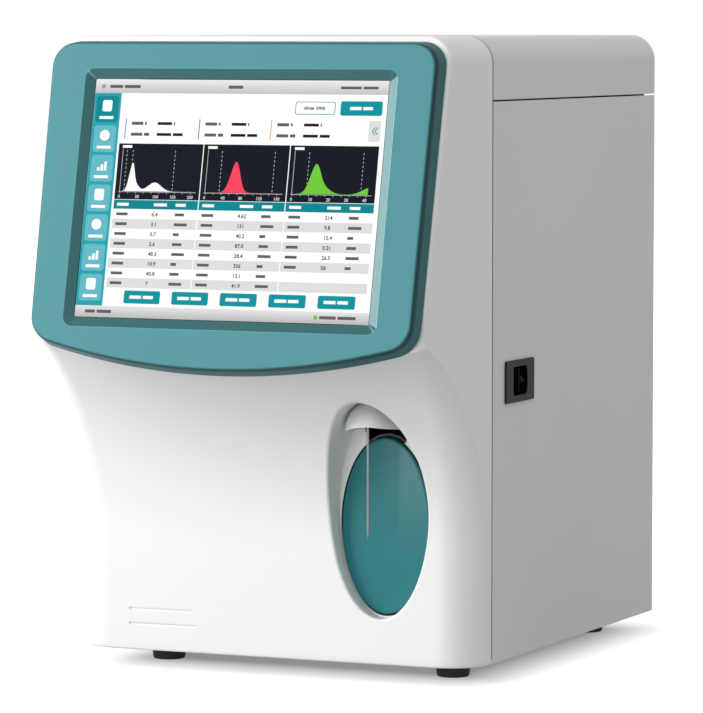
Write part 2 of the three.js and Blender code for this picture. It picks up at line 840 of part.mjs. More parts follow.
// The cup behind the key: it guides the stem, seats the spring and carries the switch on two posts.
function makeKeyCup() {
  const wall = keyClearance + keyCupWall;
  const outer = loft([keyRing(wall, cupFrontY), keyRing(wall, cupFloorY + keyCupWall)], onFront);
  const hollow = loft([
    keyRing(keyClearance, cupFrontY - overrun),
    keyRing(keyClearance, cupFloorY),
  ], onFront);
  const bore = rod("y", [keyZ, keyX], keyStemRadius + gap, [cupFloorY - overrun, cupFloorY + overrun], 16);
  const postInner = switchWidth / 2 + gap;
  const upSpan = [keyZ - switchHeight / 2, keyZ + switchHeight / 2];
  const posts = [-postInner - keyCupWall, postInner].map((start) => block(
    [keyX + start, keyX + start + keyCupWall],
    [cupFloorY + keyCupWall / 2, switchFrontY + switchDepth], upSpan));
  const micro = block([keyX - postInner - overlap, keyX + postInner + overlap],
    [switchFrontY, switchFrontY + switchDepth], upSpan);
  return join(cut(outer, hollow, bore), ...posts, micro);
}

piece("key_switch_cup", makeKeyCup(), blackPlastic);

// One unbroken wire wound about an axis along y, by the helix formula.
function coil([x, z], radius, wire, [low, high], turns) {
  const curve = new THREE.Curve();
  curve.getPoint = (t) => {
    const angle = 2 * Math.PI * turns * t;
    const y = THREE.MathUtils.lerp(low + wire / 2, high - wire / 2, t);
    return new THREE.Vector3(x + radius * Math.cos(angle), y, z + radius * Math.sin(angle));
  };
  const section = new THREE.Shape(Array.from({ length: 4 }, (_, i) => new THREE.Vector2(
    wire / 2 * Math.cos(Math.PI / 2 * i), wire / 2 * Math.sin(Math.PI / 2 * i))));
  return new THREE.ExtrudeGeometry(section, { steps: 7 * turns, extrudePath: curve, bevelEnabled: false });
}

piece("key_spring", coil([keyX, keyZ], keySpringRadius, springWire,
  [keyBackY + gap, cupFloorY - gap], 5), steel);

const collarZ = carriageBottomZ + carriageHeight + gap;

// A fine tube with a pointed end and a collar that rests on the carriage.
piece("probe_needle", turned([
  [0, probeTipZ], [probeRadius, probeTipZ + probeTipLength], [probeRadius, collarZ],
  [probeCollar, collarZ], [probeCollar, collarZ + probeCollar], [0, collarZ + probeCollar],
], [probeX, probeY], 10), steel);

// The collar that wipes the needle hangs under the lift's lower shelf.
piece("probe_wipe", cut(
  rod("z", [probeX, probeY], wipeRadius, [liftShelfZ - gap - wipeHeight, liftShelfZ - gap], 16),
  rod("z", [probeX, probeY], probeRadius + gap,
    [liftShelfZ - wipeHeight - overrun, liftShelfZ + overrun], 10),
), paleResin);

const guideY = probeY + guideSetback;
const partitionFaceX = partitionX + sheet;
const liftPlateRear = liftPlateY + liftPlate;

// A channel of two shelves on a plate, with a flange that is fixed to the partition.
function makeLiftFrame() {
  const right = probeX + liftHalfWidth;
  const front = probeY - wipeRadius;
  const plate = block([partitionFaceX + gap, right], [liftPlateY, liftPlateRear],
    [liftShelfZ, liftTopZ + liftShelf]);
  const flange = block([partitionFaceX + gap, partitionFaceX + gap + liftPlate],
    [liftPlateY, partitionFront + liftFlangeLength], [liftShelfZ, liftTopZ + liftShelf]);
  const shelf = (z) => block([probeX - liftHalfWidth, right], [front, liftPlateY + liftPlate / 2],
    [z, z + liftShelf]);
  const needleHole = rod("z", [probeX, probeY], probeCollar + gap,
    [liftShelfZ - overrun, liftShelfZ + overrun], 12);
  const shaftHole = rod("y", [drivePulleyZ, probeX], shaftRadius + gap,
    [liftPlateY - overrun, liftPlateRear + overrun]);
  const holes = [-1, 1].flatMap((side) => [liftShelfZ, liftTopZ].map((z) => rod("z",
    [probeX + side * guideOffset, guideY], guideRadius + gap, [z - overrun, z + overrun], 12)));
  const idlerPin = rod("y", [idlerPulleyZ, probeX], shaftRadius,
    [probeY + pulleySetback - pulleyWidth / 2, liftPlateRear], 12);
  return cut(join(plate, flange, shelf(liftShelfZ), shelf(liftTopZ), idlerPin),
    needleHole, shaftHole, ...holes);
}

piece("lift_frame", makeLiftFrame(), aluminium);

for (const [name, side] of [["left_guide_rod", -1], ["right_guide_rod", 1]]) {
  piece(name, rod("z", [probeX + side * guideOffset, guideY], guideRadius,
    [liftShelfZ, liftTopZ + liftShelf], 12), steel);
}

const beltY = probeY + pulleySetback;
const beltHalf = pulleyRadius + gap;

// The carriage slides on both rods, holds the needle and takes the belt's right run in a clamp.
function makeCarriage() {
  const span = [carriageBottomZ, carriageBottomZ + carriageHeight];
  const front = probeY - carriageDepth / 2 + probePassage;
  const body = block([probeX - carriageHalfWidth, probeX + carriageHalfWidth],
    [front, front + carriageDepth], span);
  const clampInner = probeX + beltHalf + beltThickness + gap;
  const clamp = block([clampInner, probeX + carriageHalfWidth],
    [front + carriageDepth - gap, beltY + beltWidth / 2], span);
  const bores = [-1, 1].map((side) => rod("z", [probeX + side * guideOffset, guideY], guideRadius + gap,
    [span[0] - overrun, span[1] + overrun], 12));
  const needleBore = rod("z", [probeX, probeY], probeRadius + gap,
    [span[0] - overrun, span[1] + overrun], 10);
  return cut(join(body, clamp), needleBore, ...bores);
}

piece("probe_carriage", makeCarriage(), blackAnodised);

const pulleySpan = [beltY - pulleyWidth / 2, beltY + pulleyWidth / 2];

piece("drive_pulley", cut(
  join(rod("y", [drivePulleyZ, probeX], pulleyRadius, pulleySpan, 16),
    rod("y", [drivePulleyZ, probeX], pulleyHub, [pulleySpan[0] - pulleyHub / 2, pulleySpan[1]], 16)),
  rod("y", [drivePulleyZ, probeX], shaftRadius + gap, [pulleySpan[0] - overrun, pulleySpan[1] + overrun], 12),
), aluminium);

piece("idler_pulley", cut(
  rod("y", [idlerPulleyZ, probeX], pulleyRadius, pulleySpan, 16),
  rod("y", [idlerPulleyZ, probeX], shaftRadius + gap, [pulleySpan[0] - overrun, pulleySpan[1] + overrun], 12),
), aluminium);

// The belt: a loop of two straight runs round both pulleys.
function beltOutline(offset) {
  const points = [];
  const steps = 8;
  for (const [z, from] of [[drivePulleyZ, 0], [idlerPulleyZ, Math.PI]]) {
    for (let i = 0; i <= steps; i += 1) {
      const angle = from + Math.PI * i / steps;
      points.push(new THREE.Vector2(z + offset * Math.sin(angle), probeX + offset * Math.cos(angle)));
    }
  }
  return points;
}

piece("lift_belt", cut(
  prism("y", beltOutline(beltHalf + beltThickness), [beltY - beltWidth / 2, beltY + beltWidth / 2]),
  prism("y", beltOutline(beltHalf), [beltY - beltWidth, beltY + beltWidth]),
), rubber);

const liftMotorFront = liftPlateRear + gap;
piece("lift_motor", join(
  block([probeX - liftMotorSize / 2, probeX + liftMotorSize / 2],
    [liftMotorFront, liftMotorFront + liftMotorDepth],
    [drivePulleyZ - liftMotorSize / 2, drivePulleyZ + liftMotorSize / 2]),
  rod("y", [drivePulleyZ, probeX], shaftRadius, [pulleySpan[0], liftMotorFront + liftPlate], 12),
), blackAnodised);

// Body panels

// A folded sheet: the panel itself with a flange turned in along its front, top and bottom edges.
function foldedPanel(side) {
  const across = (outer, inner) => (side > 0 ? [half - inner, half - outer] : [outer - half, inner - half]);
  const flange = across(sheet / 2, flangeDepth + sheet);
  const lowFlange = floorZ + swingGap;
  const flangeRear = rearInnerY - flangeDepth;
  return join(
    block(across(0, sheet), [panelFront, bodyDepth], [panelLift, panelHeight]),
    block(flange, [panelFront, panelFront + sheet], [lowFlange, panelHeight]),
    block(flange, [panelFront, flangeRear], [lowFlange, lowFlange + sheet]),
    block(flange, [panelFront, flangeRear], [panelHeight - sheet, panelHeight]),
  );
}

const hingeX = half - hingeAxisInset;
const hingeY = bodyDepth - hingeAxisSetback;

// A level leaf round the hinge axis, reaching to the rear panel or to the door.
function hingeLeafAt(z, reach) {
  const level = [z, z + hingeLeaf];
  return join(rod("z", [hingeX, hingeY], hingeRadius, level, 20), block(...reach, level));
}

function makeDoor() {
  const earReach = [[hingeX, half - sheet / 2], [hingeY - hingeRadius, hingeY + hingeRadius]];
  const ears = [lowerHingeZ, upperHingeZ].map((z) => cut(
    hingeLeafAt(z + hingeLeaf + gap, earReach),
    rod("z", [hingeX, hingeY], hingePin + gap, [z - overrun, z + hingePinRise + overrun], 12)));
  const latchHole = block([half - sheet - overrun, half + overrun],
    [latchY - latchLength / 2 + latchBodyMargin - gap, latchY + latchLength / 2 - latchBodyMargin + gap],
    [latchZ - latchHeight / 2 + latchBodyMargin - gap, latchZ + latchHeight / 2 - latchBodyMargin + gap]);
  return cut(join(foldedPanel(1), ...ears), latchHole);
}

piece("right_door", makeDoor(), paintedSheet);
piece("left_panel", foldedPanel(-1), paintedSheet);

// Each bracket is a leg on the rear panel, a leaf under the door's ear and the pin that the ear turns on.
for (const [name, z] of [["lower_hinge_bracket", lowerHingeZ], ["upper_hinge_bracket", upperHingeZ]]) {
  const legFront = rearPlaneY + gap;
  const reach = [[hingeX - hingeRadius, hingeX + hingeRadius], [legFront, hingeY]];
  const leg = block([hingeX + hingeRadius - hingeLegWidth, hingeX + hingeRadius],
    [legFront, legFront + hingeLegThickness], [z + hingeLeaf - hingeLegHeight, z + hingeLeaf]);
  const pin = rod("z", [hingeX, hingeY], hingePin, [z + hingeLeaf / 2, z + hingePinRise], 12);
  piece(name, join(hingeLeafAt(z, reach), leg, pin), steel);
}

// The top cover is an inverted U with rounded long edges.
function coverOutline(inset, bottom) {
  const radius = topRadius - inset;
  const steps = 8;
  const points = [];
  for (const [side, from] of [[1, 0], [-1, Math.PI / 2]]) {
    for (let i = 0; i <= steps; i += 1) {
      const angle = from + Math.PI / 2 * i / steps;
      points.push(new THREE.Vector2(bodyHeight - topRadius + radius * Math.sin(angle),
        side * (half - topRadius) + radius * Math.cos(angle)));
    }
  }
  return [new THREE.Vector2(bottom, half - inset), ...points, new THREE.Vector2(bottom, inset - half)];
}

piece("top_cover", cut(
  prism("y", coverOutline(0, skirtZ), [panelFront, bodyDepth]),
  prism("y", coverOutline(topWall, skirtZ - overrun), [panelFront - overrun, bodyDepth + overrun]),
), paintedSheet);

// The base plate has an upstand along its front, and a notch where the door's rear edge swings in.
const plateHalf = half - sheet - gap;
const doorSweep = Math.hypot(hingeAxisInset, hingeAxisSetback) + swingGap;
piece("base_plate", cut(
  join(
    block([-plateHalf, plateHalf], [panelFront, bodyDepth - panelLift], [2 * gap, floorZ]),
    block([flangeDepth + 2 * sheet - plateHalf, plateHalf - flangeDepth - 2 * sheet],
      [panelFront + 2 * sheet, panelFront + 3 * sheet], [floorZ - gap, floorZ + flangeDepth])),
  block([hingeX - doorSweep, plateHalf + overrun], [hingeY - swingGap, bodyDepth + overrun],
    [-overrun, floorZ + overrun]),
), zincSheet);

// Feet: tapered rubber, narrower where they stand.
for (const [name, x, y] of [
  ["front_left_foot", -footX, frontFootY], ["front_right_foot", footX, frontFootY],
  ["rear_left_foot", -footX, rearFootY], ["rear_right_foot", footX, rearFootY],
]) {
  piece(name, turned([
    [0, -footHeight], [footBottomRadius - footChamfer, -footHeight],
    [footBottomRadius, footChamfer - footHeight], [footTopRadius, 0], [footTopRadius, gap], [0, gap],
  ], [x, y], 14), rubber);
}

const partitionSpan = [partitionFront, rearInnerY - gap];
piece("partition", join(
  block([partitionX, partitionFaceX], partitionSpan, [floorZ + gap, partitionTop]),
  block([partitionX, partitionX + partitionFoot], partitionSpan, [floorZ + gap, floorZ + gap + sheet]),
), zincSheet);

// Latch of the service door

const pocketFloorX = half + latchProud - pocketDepth;
const pocketY = [latchY - pocketLength / 2, latchY + pocketLength / 2];
const pocketZ = [latchZ - pocketHeight / 2, latchZ + pocketHeight / 2];
const stemSlot = [latchY - stemWidth / 2 - gap, latchY + stemWidth / 2 + sliderTravel + gap];
const latchBackX = half - latchBodyDepth;

// A collared box let into the door, hollowed for a finger, with a slot for the slider's stem.
function makeLatchFrame() {
  const collar = prism("x", roundedRectangle(latchLength, latchHeight, latchCorner),
    [half + gap, half + latchProud]).translate(0, latchY, latchZ);
  const body = block([latchBackX, half + latchProud / 2],
    [latchY - latchLength / 2 + latchBodyMargin, latchY + latchLength / 2 - latchBodyMargin],
    [latchZ - latchHeight / 2 + latchBodyMargin, latchZ + latchHeight / 2 - latchBodyMargin]);
  const pocket = block([pocketFloorX, half + latchProud + overrun], pocketY, pocketZ);
  const slot = block([latchBackX - overrun, pocketFloorX + overrun], stemSlot,
    [latchZ - tongueHeight / 2 - gap, latchZ + tongueHeight / 2 + gap]);
  return cut(join(collar, body), pocket, slot);
}

piece("latch_frame", makeLatchFrame(), blackPlastic);

// The finger plate with its pull rib, the stem through the frame and the tongue behind the door.
function makeLatchSlider() {
  const plateZ = [pocketZ[0] + gap, pocketZ[1] - gap];
  const plateX = [pocketFloorX + gap, pocketFloorX + gap + sliderThickness];
  const plateY = [pocketY[0] + gap, pocketY[1] - gap - sliderTravel];
  const plate = block(plateX, plateY, plateZ);
  const rib = block([plateX[0], half], [plateY[0], plateY[0] + sliderThickness], plateZ);
  const backRib = block([plateX[0], plateX[1] + sliderRib], [plateY[1] - sliderThickness, plateY[1]], plateZ);
  const tongueZ = [latchZ - tongueHeight / 2, latchZ + tongueHeight / 2];
  const tongueX = [latchBackX - gap - tongueThickness, latchBackX - gap];
  const stem = block([tongueX[1] - tongueThickness / 2, plateX[1] - sliderThickness / 2],
    [latchY - stemWidth / 2, latchY + stemWidth / 2], tongueZ);
  const tongueEnd = latchY + stemWidth / 2;
  const tongue = block(tongueX, [tongueEnd - tongueLength - stemWidth, tongueEnd], tongueZ);
  return join(plate, rib, backRib, stem, tongue);
}

piece("latch_slider", makeLatchSlider(), blackPlastic);
piece("latch_spring", coil([pocketFloorX + 2 * gap + sliderThickness + latchSpringRadius, latchZ],
  latchSpringRadius, latchSpringWire, [pocketY[1] - sliderTravel, pocketY[1] - gap], 3), steel);

// Rear panel and its fittings

const inletModule = [inletX - inletSocketWidth / 2 - inletMargin, rockerX + rockerWidth / 2 + inletMargin];

function rearHole(x, z, [a, b]) {
  return block([x - a, x + a], [rearInnerY - overrun, rearPlaneY + overrun], [z - b, z + b]);
}

const portRows = [
  [portZ + portPitch, lanWidth, lanHeight],
  [portZ, serialWidth, serialHeight],
  [portZ - portPitch, serialWidth, serialHeight],
];
const fittingXs = Array.from({ length: fittingCount },
  (_, i) => fittingX + (i - (fittingCount - 1) / 2) * fittingPitch);

// The rear panel is a board with its upper corners rounded to the top cover's inside.
piece("rear_panel", cut(
  prism("y", coverOutline(topWall + gap, floorZ + gap), [rearInnerY, rearPlaneY]),
  rod("y", [fanZ, fanX], fanBore, [rearInnerY - overrun, rearPlaneY + overrun], 24),
  rearHole((inletModule[0] + inletModule[1]) / 2, inletZ,
    [(inletModule[1] - inletModule[0]) / 2 - frameLip + gap, rockerFrameHeight / 2 - frameLip + gap]),
  rearHole(portX, portZ, [portPlateWidth / 2 - frameLip, portPlateHeight / 2 - frameLip]),
  ...fittingXs.map((x) => rod("y", [fittingZ, x], fittingRadius + gap,
    [rearInnerY - overrun, rearPlaneY + overrun], 12)),
), paintedSheet);

// Fan: a square frame with a round bore, a hub plate on spokes behind the rotor, and the rotor itself.
const fanRear = rearInnerY - gap;
const fanFront = fanRear - fanDepth;
const hubPlate = fanSpoke / 2;
const rotorFront = fanFront + hubPlate + gap;
piece("fan_frame", join(
  cut(
    block([fanX - fanSize / 2, fanX + fanSize / 2], [fanFront, fanRear],
      [fanZ - fanSize / 2, fanZ + fanSize / 2]),
    rod("y", [fanZ, fanX], fanBore, [fanFront - overrun, fanRear + overrun], 24)),
  rod("y", [fanZ, fanX], fanHub, [fanFront, fanFront + hubPlate], 12),
  block([fanX - fanBore - hubPlate, fanX + fanBore + hubPlate], [fanFront, fanFront + hubPlate],
    [fanZ - fanSpoke / 2, fanZ + fanSpoke / 2]),
  block([fanX - fanSpoke / 2, fanX + fanSpoke / 2], [fanFront, fanFront + hubPlate],
    [fanZ - fanBore - hubPlate, fanZ + fanBore + hubPlate]),
  rod("y", [fanZ, fanX], fanShaftRadius, [fanFront, fanRear - fanSpoke], 12),
), blackPlastic);

function makeFanRotor() {
  const span = [rotorFront, fanRear - gap];
  const blades = Array.from({ length: fanBladeCount }, (_, i) => {
    const blade = new THREE.BoxGeometry(fanBlade - fanHub + overlap, fanBladeThickness,
      span[1] - span[0] - fanSpoke);
    blade.rotateX(Math.PI / 5).translate((fanBlade + fanHub - overlap) / 2, 0, 0);
    blade.rotateZ(2 * Math.PI * i / fanBladeCount);
    return blade.applyMatrix4(pushFrames.y).translate(fanX, (span[0] + span[1]) / 2, fanZ);
  });
  return cut(join(rod("y", [fanZ, fanX], fanHub, span, 16), ...blades),
    rod("y", [fanZ, fanX], fanShaftRadius + gap, [span[0] - overrun, fanRear - fanSpoke + gap], 12));
}

piece("fan_rotor", makeFanRotor(), blackPlastic);

// A wire guard of rings and two crossed bars over the fan's opening.
function makeFanGuard() {
  const span = [rearPlaneY + gap, rearPlaneY + gap + guardThickness];
  const rings = Array.from({ length: guardRings }, (_, i) => {
    const radius = guardRadius * (i + 1) / guardRings;
    return cut(rod("y", [fanZ, fanX], radius, span, 16),
      rod("y", [fanZ, fanX], radius - guardBar, [span[0] - overrun, span[1] + overrun], 16));
  });
  const bar = (turn) => {
    const length = 2 * guardRadius + guardBar;
    return block([-length / 2, length / 2], span, [-guardBar / 2, guardBar / 2])
      .rotateY(turn).translate(fanX, 0, fanZ);
  };
  return join(...rings, bar(Math.PI / 4), bar(-Math.PI / 4));
}

piece("fan_guard", makeFanGuard(), steel);

// Mains inlet and switch in one moulding: a flange, an open socket with three blades and the rocker's well.
function makeInlet() {
  const face = rearPlaneY + gap + inletFlange;
  const inner = block([inletModule[0] + frameLip, inletModule[1] - frameLip],
    [face - inletBodyDepth, face - overlap],
    [inletZ - rockerFrameHeight / 2 + frameLip, inletZ + rockerFrameHeight / 2 - frameLip]);
  const flange = prism("y", roundedRectangle(rockerFrameHeight, inletModule[1] - inletModule[0], inletFlange),
    [rearPlaneY + gap, face]).translate((inletModule[0] + inletModule[1]) / 2, 0, inletZ);
  const socket = block([inletX - inletSocketWidth / 2, inletX + inletSocketWidth / 2],
    [face - inletSocketDepth, face + overrun],
    [inletZ - inletSocketHeight / 2, inletZ + inletSocketHeight / 2]);
  const well = block([rockerX - rockerWidth / 2 - gap, rockerX + rockerWidth / 2 + gap],
    [face - inletSocketDepth, face + overrun],
    [inletZ - rockerHeight / 2 - gap, inletZ + rockerHeight / 2 + gap]);
  const blades = [-1, 0, 1].map((i) => inletX + i * inletBladePitch).map((x) => block(
    [x - inletBladeThickness / 2, x + inletBladeThickness / 2],
    [face - inletSocketDepth - overlap, face - inletSocketDepth + inletBladeLength],
    [inletZ - inletBladeWidth / 2, inletZ + inletBladeWidth / 2]));
  return join(cut(join(flange, inner), socket, well), ...blades);
}

piece("mains_inlet", makeInlet(), blackPlastic);

const rockerFaceY = rearPlaneY + gap + inletFlange;
// The rocker: a block with a shallow V across its face, tipped about its pivot to the off side.
function makeRocker() {
  const end = rockerHeight / 2 - swingGap;
  const outline = [
    [-rockerDepth / 2, -rockerHeight / 4], [0, -end], [rockerDepth / 2 + rockerRise, -end],
    [rockerDepth / 2 + rockerRise / 3, 0], [rockerDepth / 2 + rockerRise, end], [0, end],
    [-rockerDepth / 2, rockerHeight / 4],
  ].map(([y, z]) => new THREE.Vector2(y, z));
  const body = prism("x", outline, [rockerX - rockerWidth / 2, rockerX + rockerWidth / 2]);
  body.rotateX(-THREE.MathUtils.degToRad(rockerTiltDegrees));
  return body.translate(0, rockerFaceY - rockerDepth / 2, inletZ);
}

piece("power_rocker", makeRocker(), blackPlastic);

// Port plate: a flange with one body behind it, hollowed by a network socket and two serial sockets.
function makePortPlate() {
  const face = rearPlaneY + gap + portPlateThickness;
  const flange = prism("y", roundedRectangle(portPlateHeight, portPlateWidth, portPlateThickness),
    [rearPlaneY + gap, face]).translate(portX, 0, portZ);
  const inner = [portPlateWidth / 2 - frameLip - gap, portPlateHeight / 2 - frameLip - gap];
  const body = block([portX - inner[0], portX + inner[0]], [face - portDepth - portBodyMargin, face - gap],
    [portZ - inner[1], portZ + inner[1]]);
  const sockets = portRows.map(([z, width, height]) => block([portX - width / 2, portX + width / 2],
    [face - portDepth, face + overrun], [z - height / 2, z + height / 2]));
  return cut(join(flange, body), ...sockets);
}

piece("port_plate", makePortPlate(), zincSheet);

// Fluid fittings: one plate and its barbed nozzles, each bored through.
function makeFittings() {
  const back = rearPlaneY + gap;
  const face = back + fittingPlateThickness;
  const plate = prism("y", roundedRectangle(fittingPlateHeight, fittingPlateWidth, fittingPlateThickness),
    [back, face]).translate(fittingX, 0, fittingZ);
  const nozzles = fittingXs.map((x) => {
    const profile = [
      [0, back - portDepth], [fittingRadius, back - portDepth], [fittingRadius, face + gap],
      [fittingRadius - barbRise, face + gap], [fittingRadius - barbRise, face + fittingReach / 3],
      [fittingRadius, face + fittingReach / 3], [fittingRadius - barbRise, face + fittingReach * 2 / 3],
      [fittingRadius, face + fittingReach * 2 / 3], [fittingBore + barbRise, back + fittingReach],
      [0, back + fittingReach],
    ];
    return turned(profile, [0, 0], 8).applyMatrix4(pushFrames.y).translate(x, 0, fittingZ);
  });
  const bores = fittingXs.map((x) => rod("y", [fittingZ, x], fittingBore,
    [back, face + 2 * fittingReach], 6));
  return cut(join(plate, ...nozzles), ...bores);
}

piece("fluid_fittings", makeFittings(), paleResin);

// Baths, valves and vacuum chamber

const shelfX = partitionFaceX + gap;
const bathYs = [firstBathY, firstBathY + bathPitch];
const shelfSpan = [bathYs[0] - bathPitch / 2, bathYs[1] + bathPitch / 2];

piece("bath_shelf", cut(
  join(
    block([shelfX, probeX + bathRadius + shelfMargin], shelfSpan, [shelfZ, shelfZ + shelfThickness]),
    block([shelfX, shelfX + shelfThickness], shelfSpan, [shelfZ - shelfLeg, shelfZ + shelfThickness / 2])),
  ...bathYs.map((y) => rod("z", [probeX, y], bathRadius + gap,
    [shelfZ - overrun, shelfZ + shelfThickness + overrun], 16)),
), zincSheet);

// An open cup with a flange that rests on the shelf and a bored nipple below.
function makeBath(y) {
  const top = shelfZ + shelfThickness + gap + bathFlangeThickness;
  const seat = top - bathFlangeThickness;
  const bottom = top + bathRise - bathDepth;
  const rim = top + bathRise;
  return turned([
    [fittingBore, bottom - nippleLength], [nippleRadius, bottom - nippleLength], [nippleRadius, bottom],
    [bathRadius - bathWall, bottom], [bathRadius, bottom + bathWall], [bathRadius, seat],
    [bathRadius + bathFlange, seat], [bathRadius + bathFlange, top], [bathRadius, top], [bathRadius, rim],
    [bathRadius - bathWall, rim], [bathRadius - bathWall, bottom + bathWall * 3],
    [fittingBore, bottom + bathWall],
  ], [probeX, y], 16);
}

piece("white_cell_bath", makeBath(bathYs[0]), clearPlastic);
piece("red_cell_bath", makeBath(bathYs[1]), clearPlastic);

// One block under both baths, with a drain valve's coil for each.
function makeDrainValves() {
  const top = shelfZ + shelfThickness + bathFlangeThickness + bathRise - bathDepth - nippleLength;
  const front = probeX - drainSize / 2;
  const coils = bathYs.map((y) => rod("x", [y, top - drainHeight / 2], drainCoilRadius,
    [front - drainCoilLength, front + overlap], 16));
  return join(block([front, front + drainSize], [bathYs[0] - drainSize / 2, bathYs[1] + drainSize / 2],
    [top - drainHeight, top]), ...coils);
}

piece("drain_valves", makeDrainValves(), blackPlastic);

// The valve bank: a clear manifold on the partition and a row of valves on one base strip.
const manifoldSpan = [manifoldFront, manifoldFront + manifoldLength];
const valveX = shelfX + manifoldDepth + gap;
piece("valve_manifold", block([shelfX, shelfX + manifoldDepth], manifoldSpan,
  [manifoldZ, manifoldZ + manifoldHeight]), clearPlastic);
piece("valve_row", join(
  block([valveX, valveX + valveBaseThickness], manifoldSpan, [manifoldZ, manifoldZ + manifoldHeight]),
  ...Array.from({ length: valveCount }, (_, i) => rod("x",
    [manifoldFront + manifoldLength * (i + 0.5) / valveCount, manifoldZ + manifoldHeight / 2], valveRadius,
    [valveX + overlap, valveX + valveLength], 12)),
), blackPlastic);

const chamberTop = floorZ + chamberHeight;
piece("vacuum_chamber", turned([
  [0, floorZ + gap], [chamberRadius, floorZ + gap], [chamberRadius, chamberTop],
  [chamberNeck, chamberTop + chamberShoulder], [chamberNeck, chamberTop + chamberNeckHeight],
  [0, chamberTop + chamberNeckHeight],
], [chamberX, chamberY], 16), paleResin);

// Syringe pump

// A tall plate on the partition with a shelf at each end; the upper one carries the barrels.
function makePumpFrame() {
  const wide = [pumpY - pumpFrameHalf, pumpY + pumpFrameHalf];
  const shelf = (z) => block([shelfX, pumpX + pumpShelfDepth / 2], wide, [z, z + pumpFrameWall]);
  const barrels = [[smallBarrelOffset, smallBarrelRadius], [largeBarrelOffset, largeBarrelRadius]]
    .map(([offset, radius]) => rod("z", [pumpX, pumpY + offset], radius + gap,
      [pumpFrameTop - overrun, pumpFrameTop + pumpFrameWall + overrun], 12));
  const screw = [pumpBottom, pumpFrameTop].map((z) => rod("z", [pumpX, pumpY], screwRadius + gap,
    [z - overrun, z + pumpFrameWall + overrun], 12));
  return cut(join(
    block([shelfX, shelfX + pumpFrameWall], wide, [pumpFrameBottom, pumpFrameTop + pumpFrameWall]),
    shelf(pumpBottom), shelf(pumpFrameTop)), ...barrels, ...screw);
}

piece("syringe_frame", makePumpFrame(), aluminium);

// A glass barrel, open below, with a rim that rests on the upper shelf and a bored nipple on top.
function makeBarrel(offset, radius) {
  const seat = pumpFrameTop + pumpFrameWall + gap;
  const top = seat + 2 * barrelWall;
  const bottom = pumpFrameTop - barrelLength;
  const inner = radius - barrelWall;
  return turned([
    [inner, bottom], [radius, bottom], [radius, seat],
    [radius + barrelWall, seat], [radius + barrelWall, top],
    [nippleRadius - barbRise, top], [nippleRadius - barbRise, top + nippleLength],
    [fittingBore / 2, top + nippleLength], [fittingBore / 2, seat], [inner, seat],
  ], [pumpX, pumpY + offset], 12);
}

// A plunger: a head that slides in the barrel and a rod down into the crosshead.
function makePlunger(offset, radius) {
  const head = radius - barrelWall - plungerClearance;
  const top = pumpFrameTop - barrelWall;
  return turned([
    [0, crossheadZ + crossheadHeight + gap], [plungerRodRadius, crossheadZ + crossheadHeight + gap],
    [plungerRodRadius, top - plungerHead], [head, top - plungerHead], [head, top], [0, top],
  ], [pumpX, pumpY + offset], 12);
}

piece("small_syringe_barrel", makeBarrel(smallBarrelOffset, smallBarrelRadius), clearPlastic);
piece("large_syringe_barrel", makeBarrel(largeBarrelOffset, largeBarrelRadius), clearPlastic);
piece("small_plunger", makePlunger(smallBarrelOffset, smallBarrelRadius), paleResin);
piece("large_plunger", makePlunger(largeBarrelOffset, largeBarrelRadius), paleResin);
piece("syringe_crosshead", cut(
  block([pumpX - crossheadDepth / 2, pumpX + crossheadDepth / 2],
    [pumpY - crossheadHalf, pumpY + crossheadHalf], [crossheadZ, crossheadZ + crossheadHeight]),
  rod("z", [pumpX, pumpY], screwRadius + gap,
    [crossheadZ - overrun, crossheadZ + crossheadHeight + overrun], 12),
), aluminium);

// The motor under the lower shelf, with its lead screw running up to the upper shelf.
piece("syringe_motor", join(
  block([pumpX - syringeMotorSize / 2, pumpX + syringeMotorSize / 2],
    [pumpY - syringeMotorSize / 2, pumpY + syringeMotorSize / 2],
    [pumpBottom - gap - syringeMotorHeight, pumpBottom - gap]),
  rod("z", [pumpX, pumpY], screwRadius, [pumpBottom - 2 * gap, pumpFrameTop + pumpFrameWall], 12),
), blackAnodised);

// Waste pump

const wasteFront = wasteX + wasteHousingDepth;

// A round cup on a foot, open to the door's side, with the motor behind it.
piece("waste_pump_housing", cut(
  join(
    rod("x", [wasteY, wasteZ], wasteHousingRadius, [wasteX, wasteFront], 20),
    block([wasteX, wasteFront], [wasteY - wasteMotorRadius, wasteY + wasteMotorRadius],
      [floorZ + gap, wasteZ])),
  rod("x", [wasteY, wasteZ], wasteHousingRadius - wasteWall, [wasteX + wasteWall, wasteFront + overrun], 20),
  rod("x", [wasteY, wasteZ], shaftRadius + gap, [wasteX - overrun, wasteFront], 12),
), blackPlastic);

piece("waste_pump_motor", join(
  rod("x", [wasteY, wasteZ], wasteMotorRadius, [wasteX - gap - wasteMotorLength, wasteX - gap], 20),
  rod("x", [wasteY, wasteZ], shaftRadius, [wasteX - 2 * gap, wasteFront - wasteWall], 12),
), steel);

// The rotor: two discs with three rollers between them.
function makeRotor() {
  const back = wasteX + wasteWall + swingGap;
  const rollers = Array.from({ length: 3 }, (_, i) => {
    const angle = 2 * Math.PI * i / 3;
    return rod("x", [wasteY + rollerOrbit * Math.cos(angle), wasteZ + rollerOrbit * Math.sin(angle)],
      rollerRadius, [back, back + rotorWidth], 8);
  });
  return cut(join(
    rod("x", [wasteY, wasteZ], rotorRadius, [back, back + rotorDisc], 16),
    rod("x", [wasteY, wasteZ], rotorHub, [back, back + rotorWidth], 16), ...rollers),
  rod("x", [wasteY, wasteZ], shaftRadius + gap, [back - overrun, back + rotorWidth + overrun], 12));
}

piece("waste_pump_rotor", makeRotor(), paleResin);

// Electronics

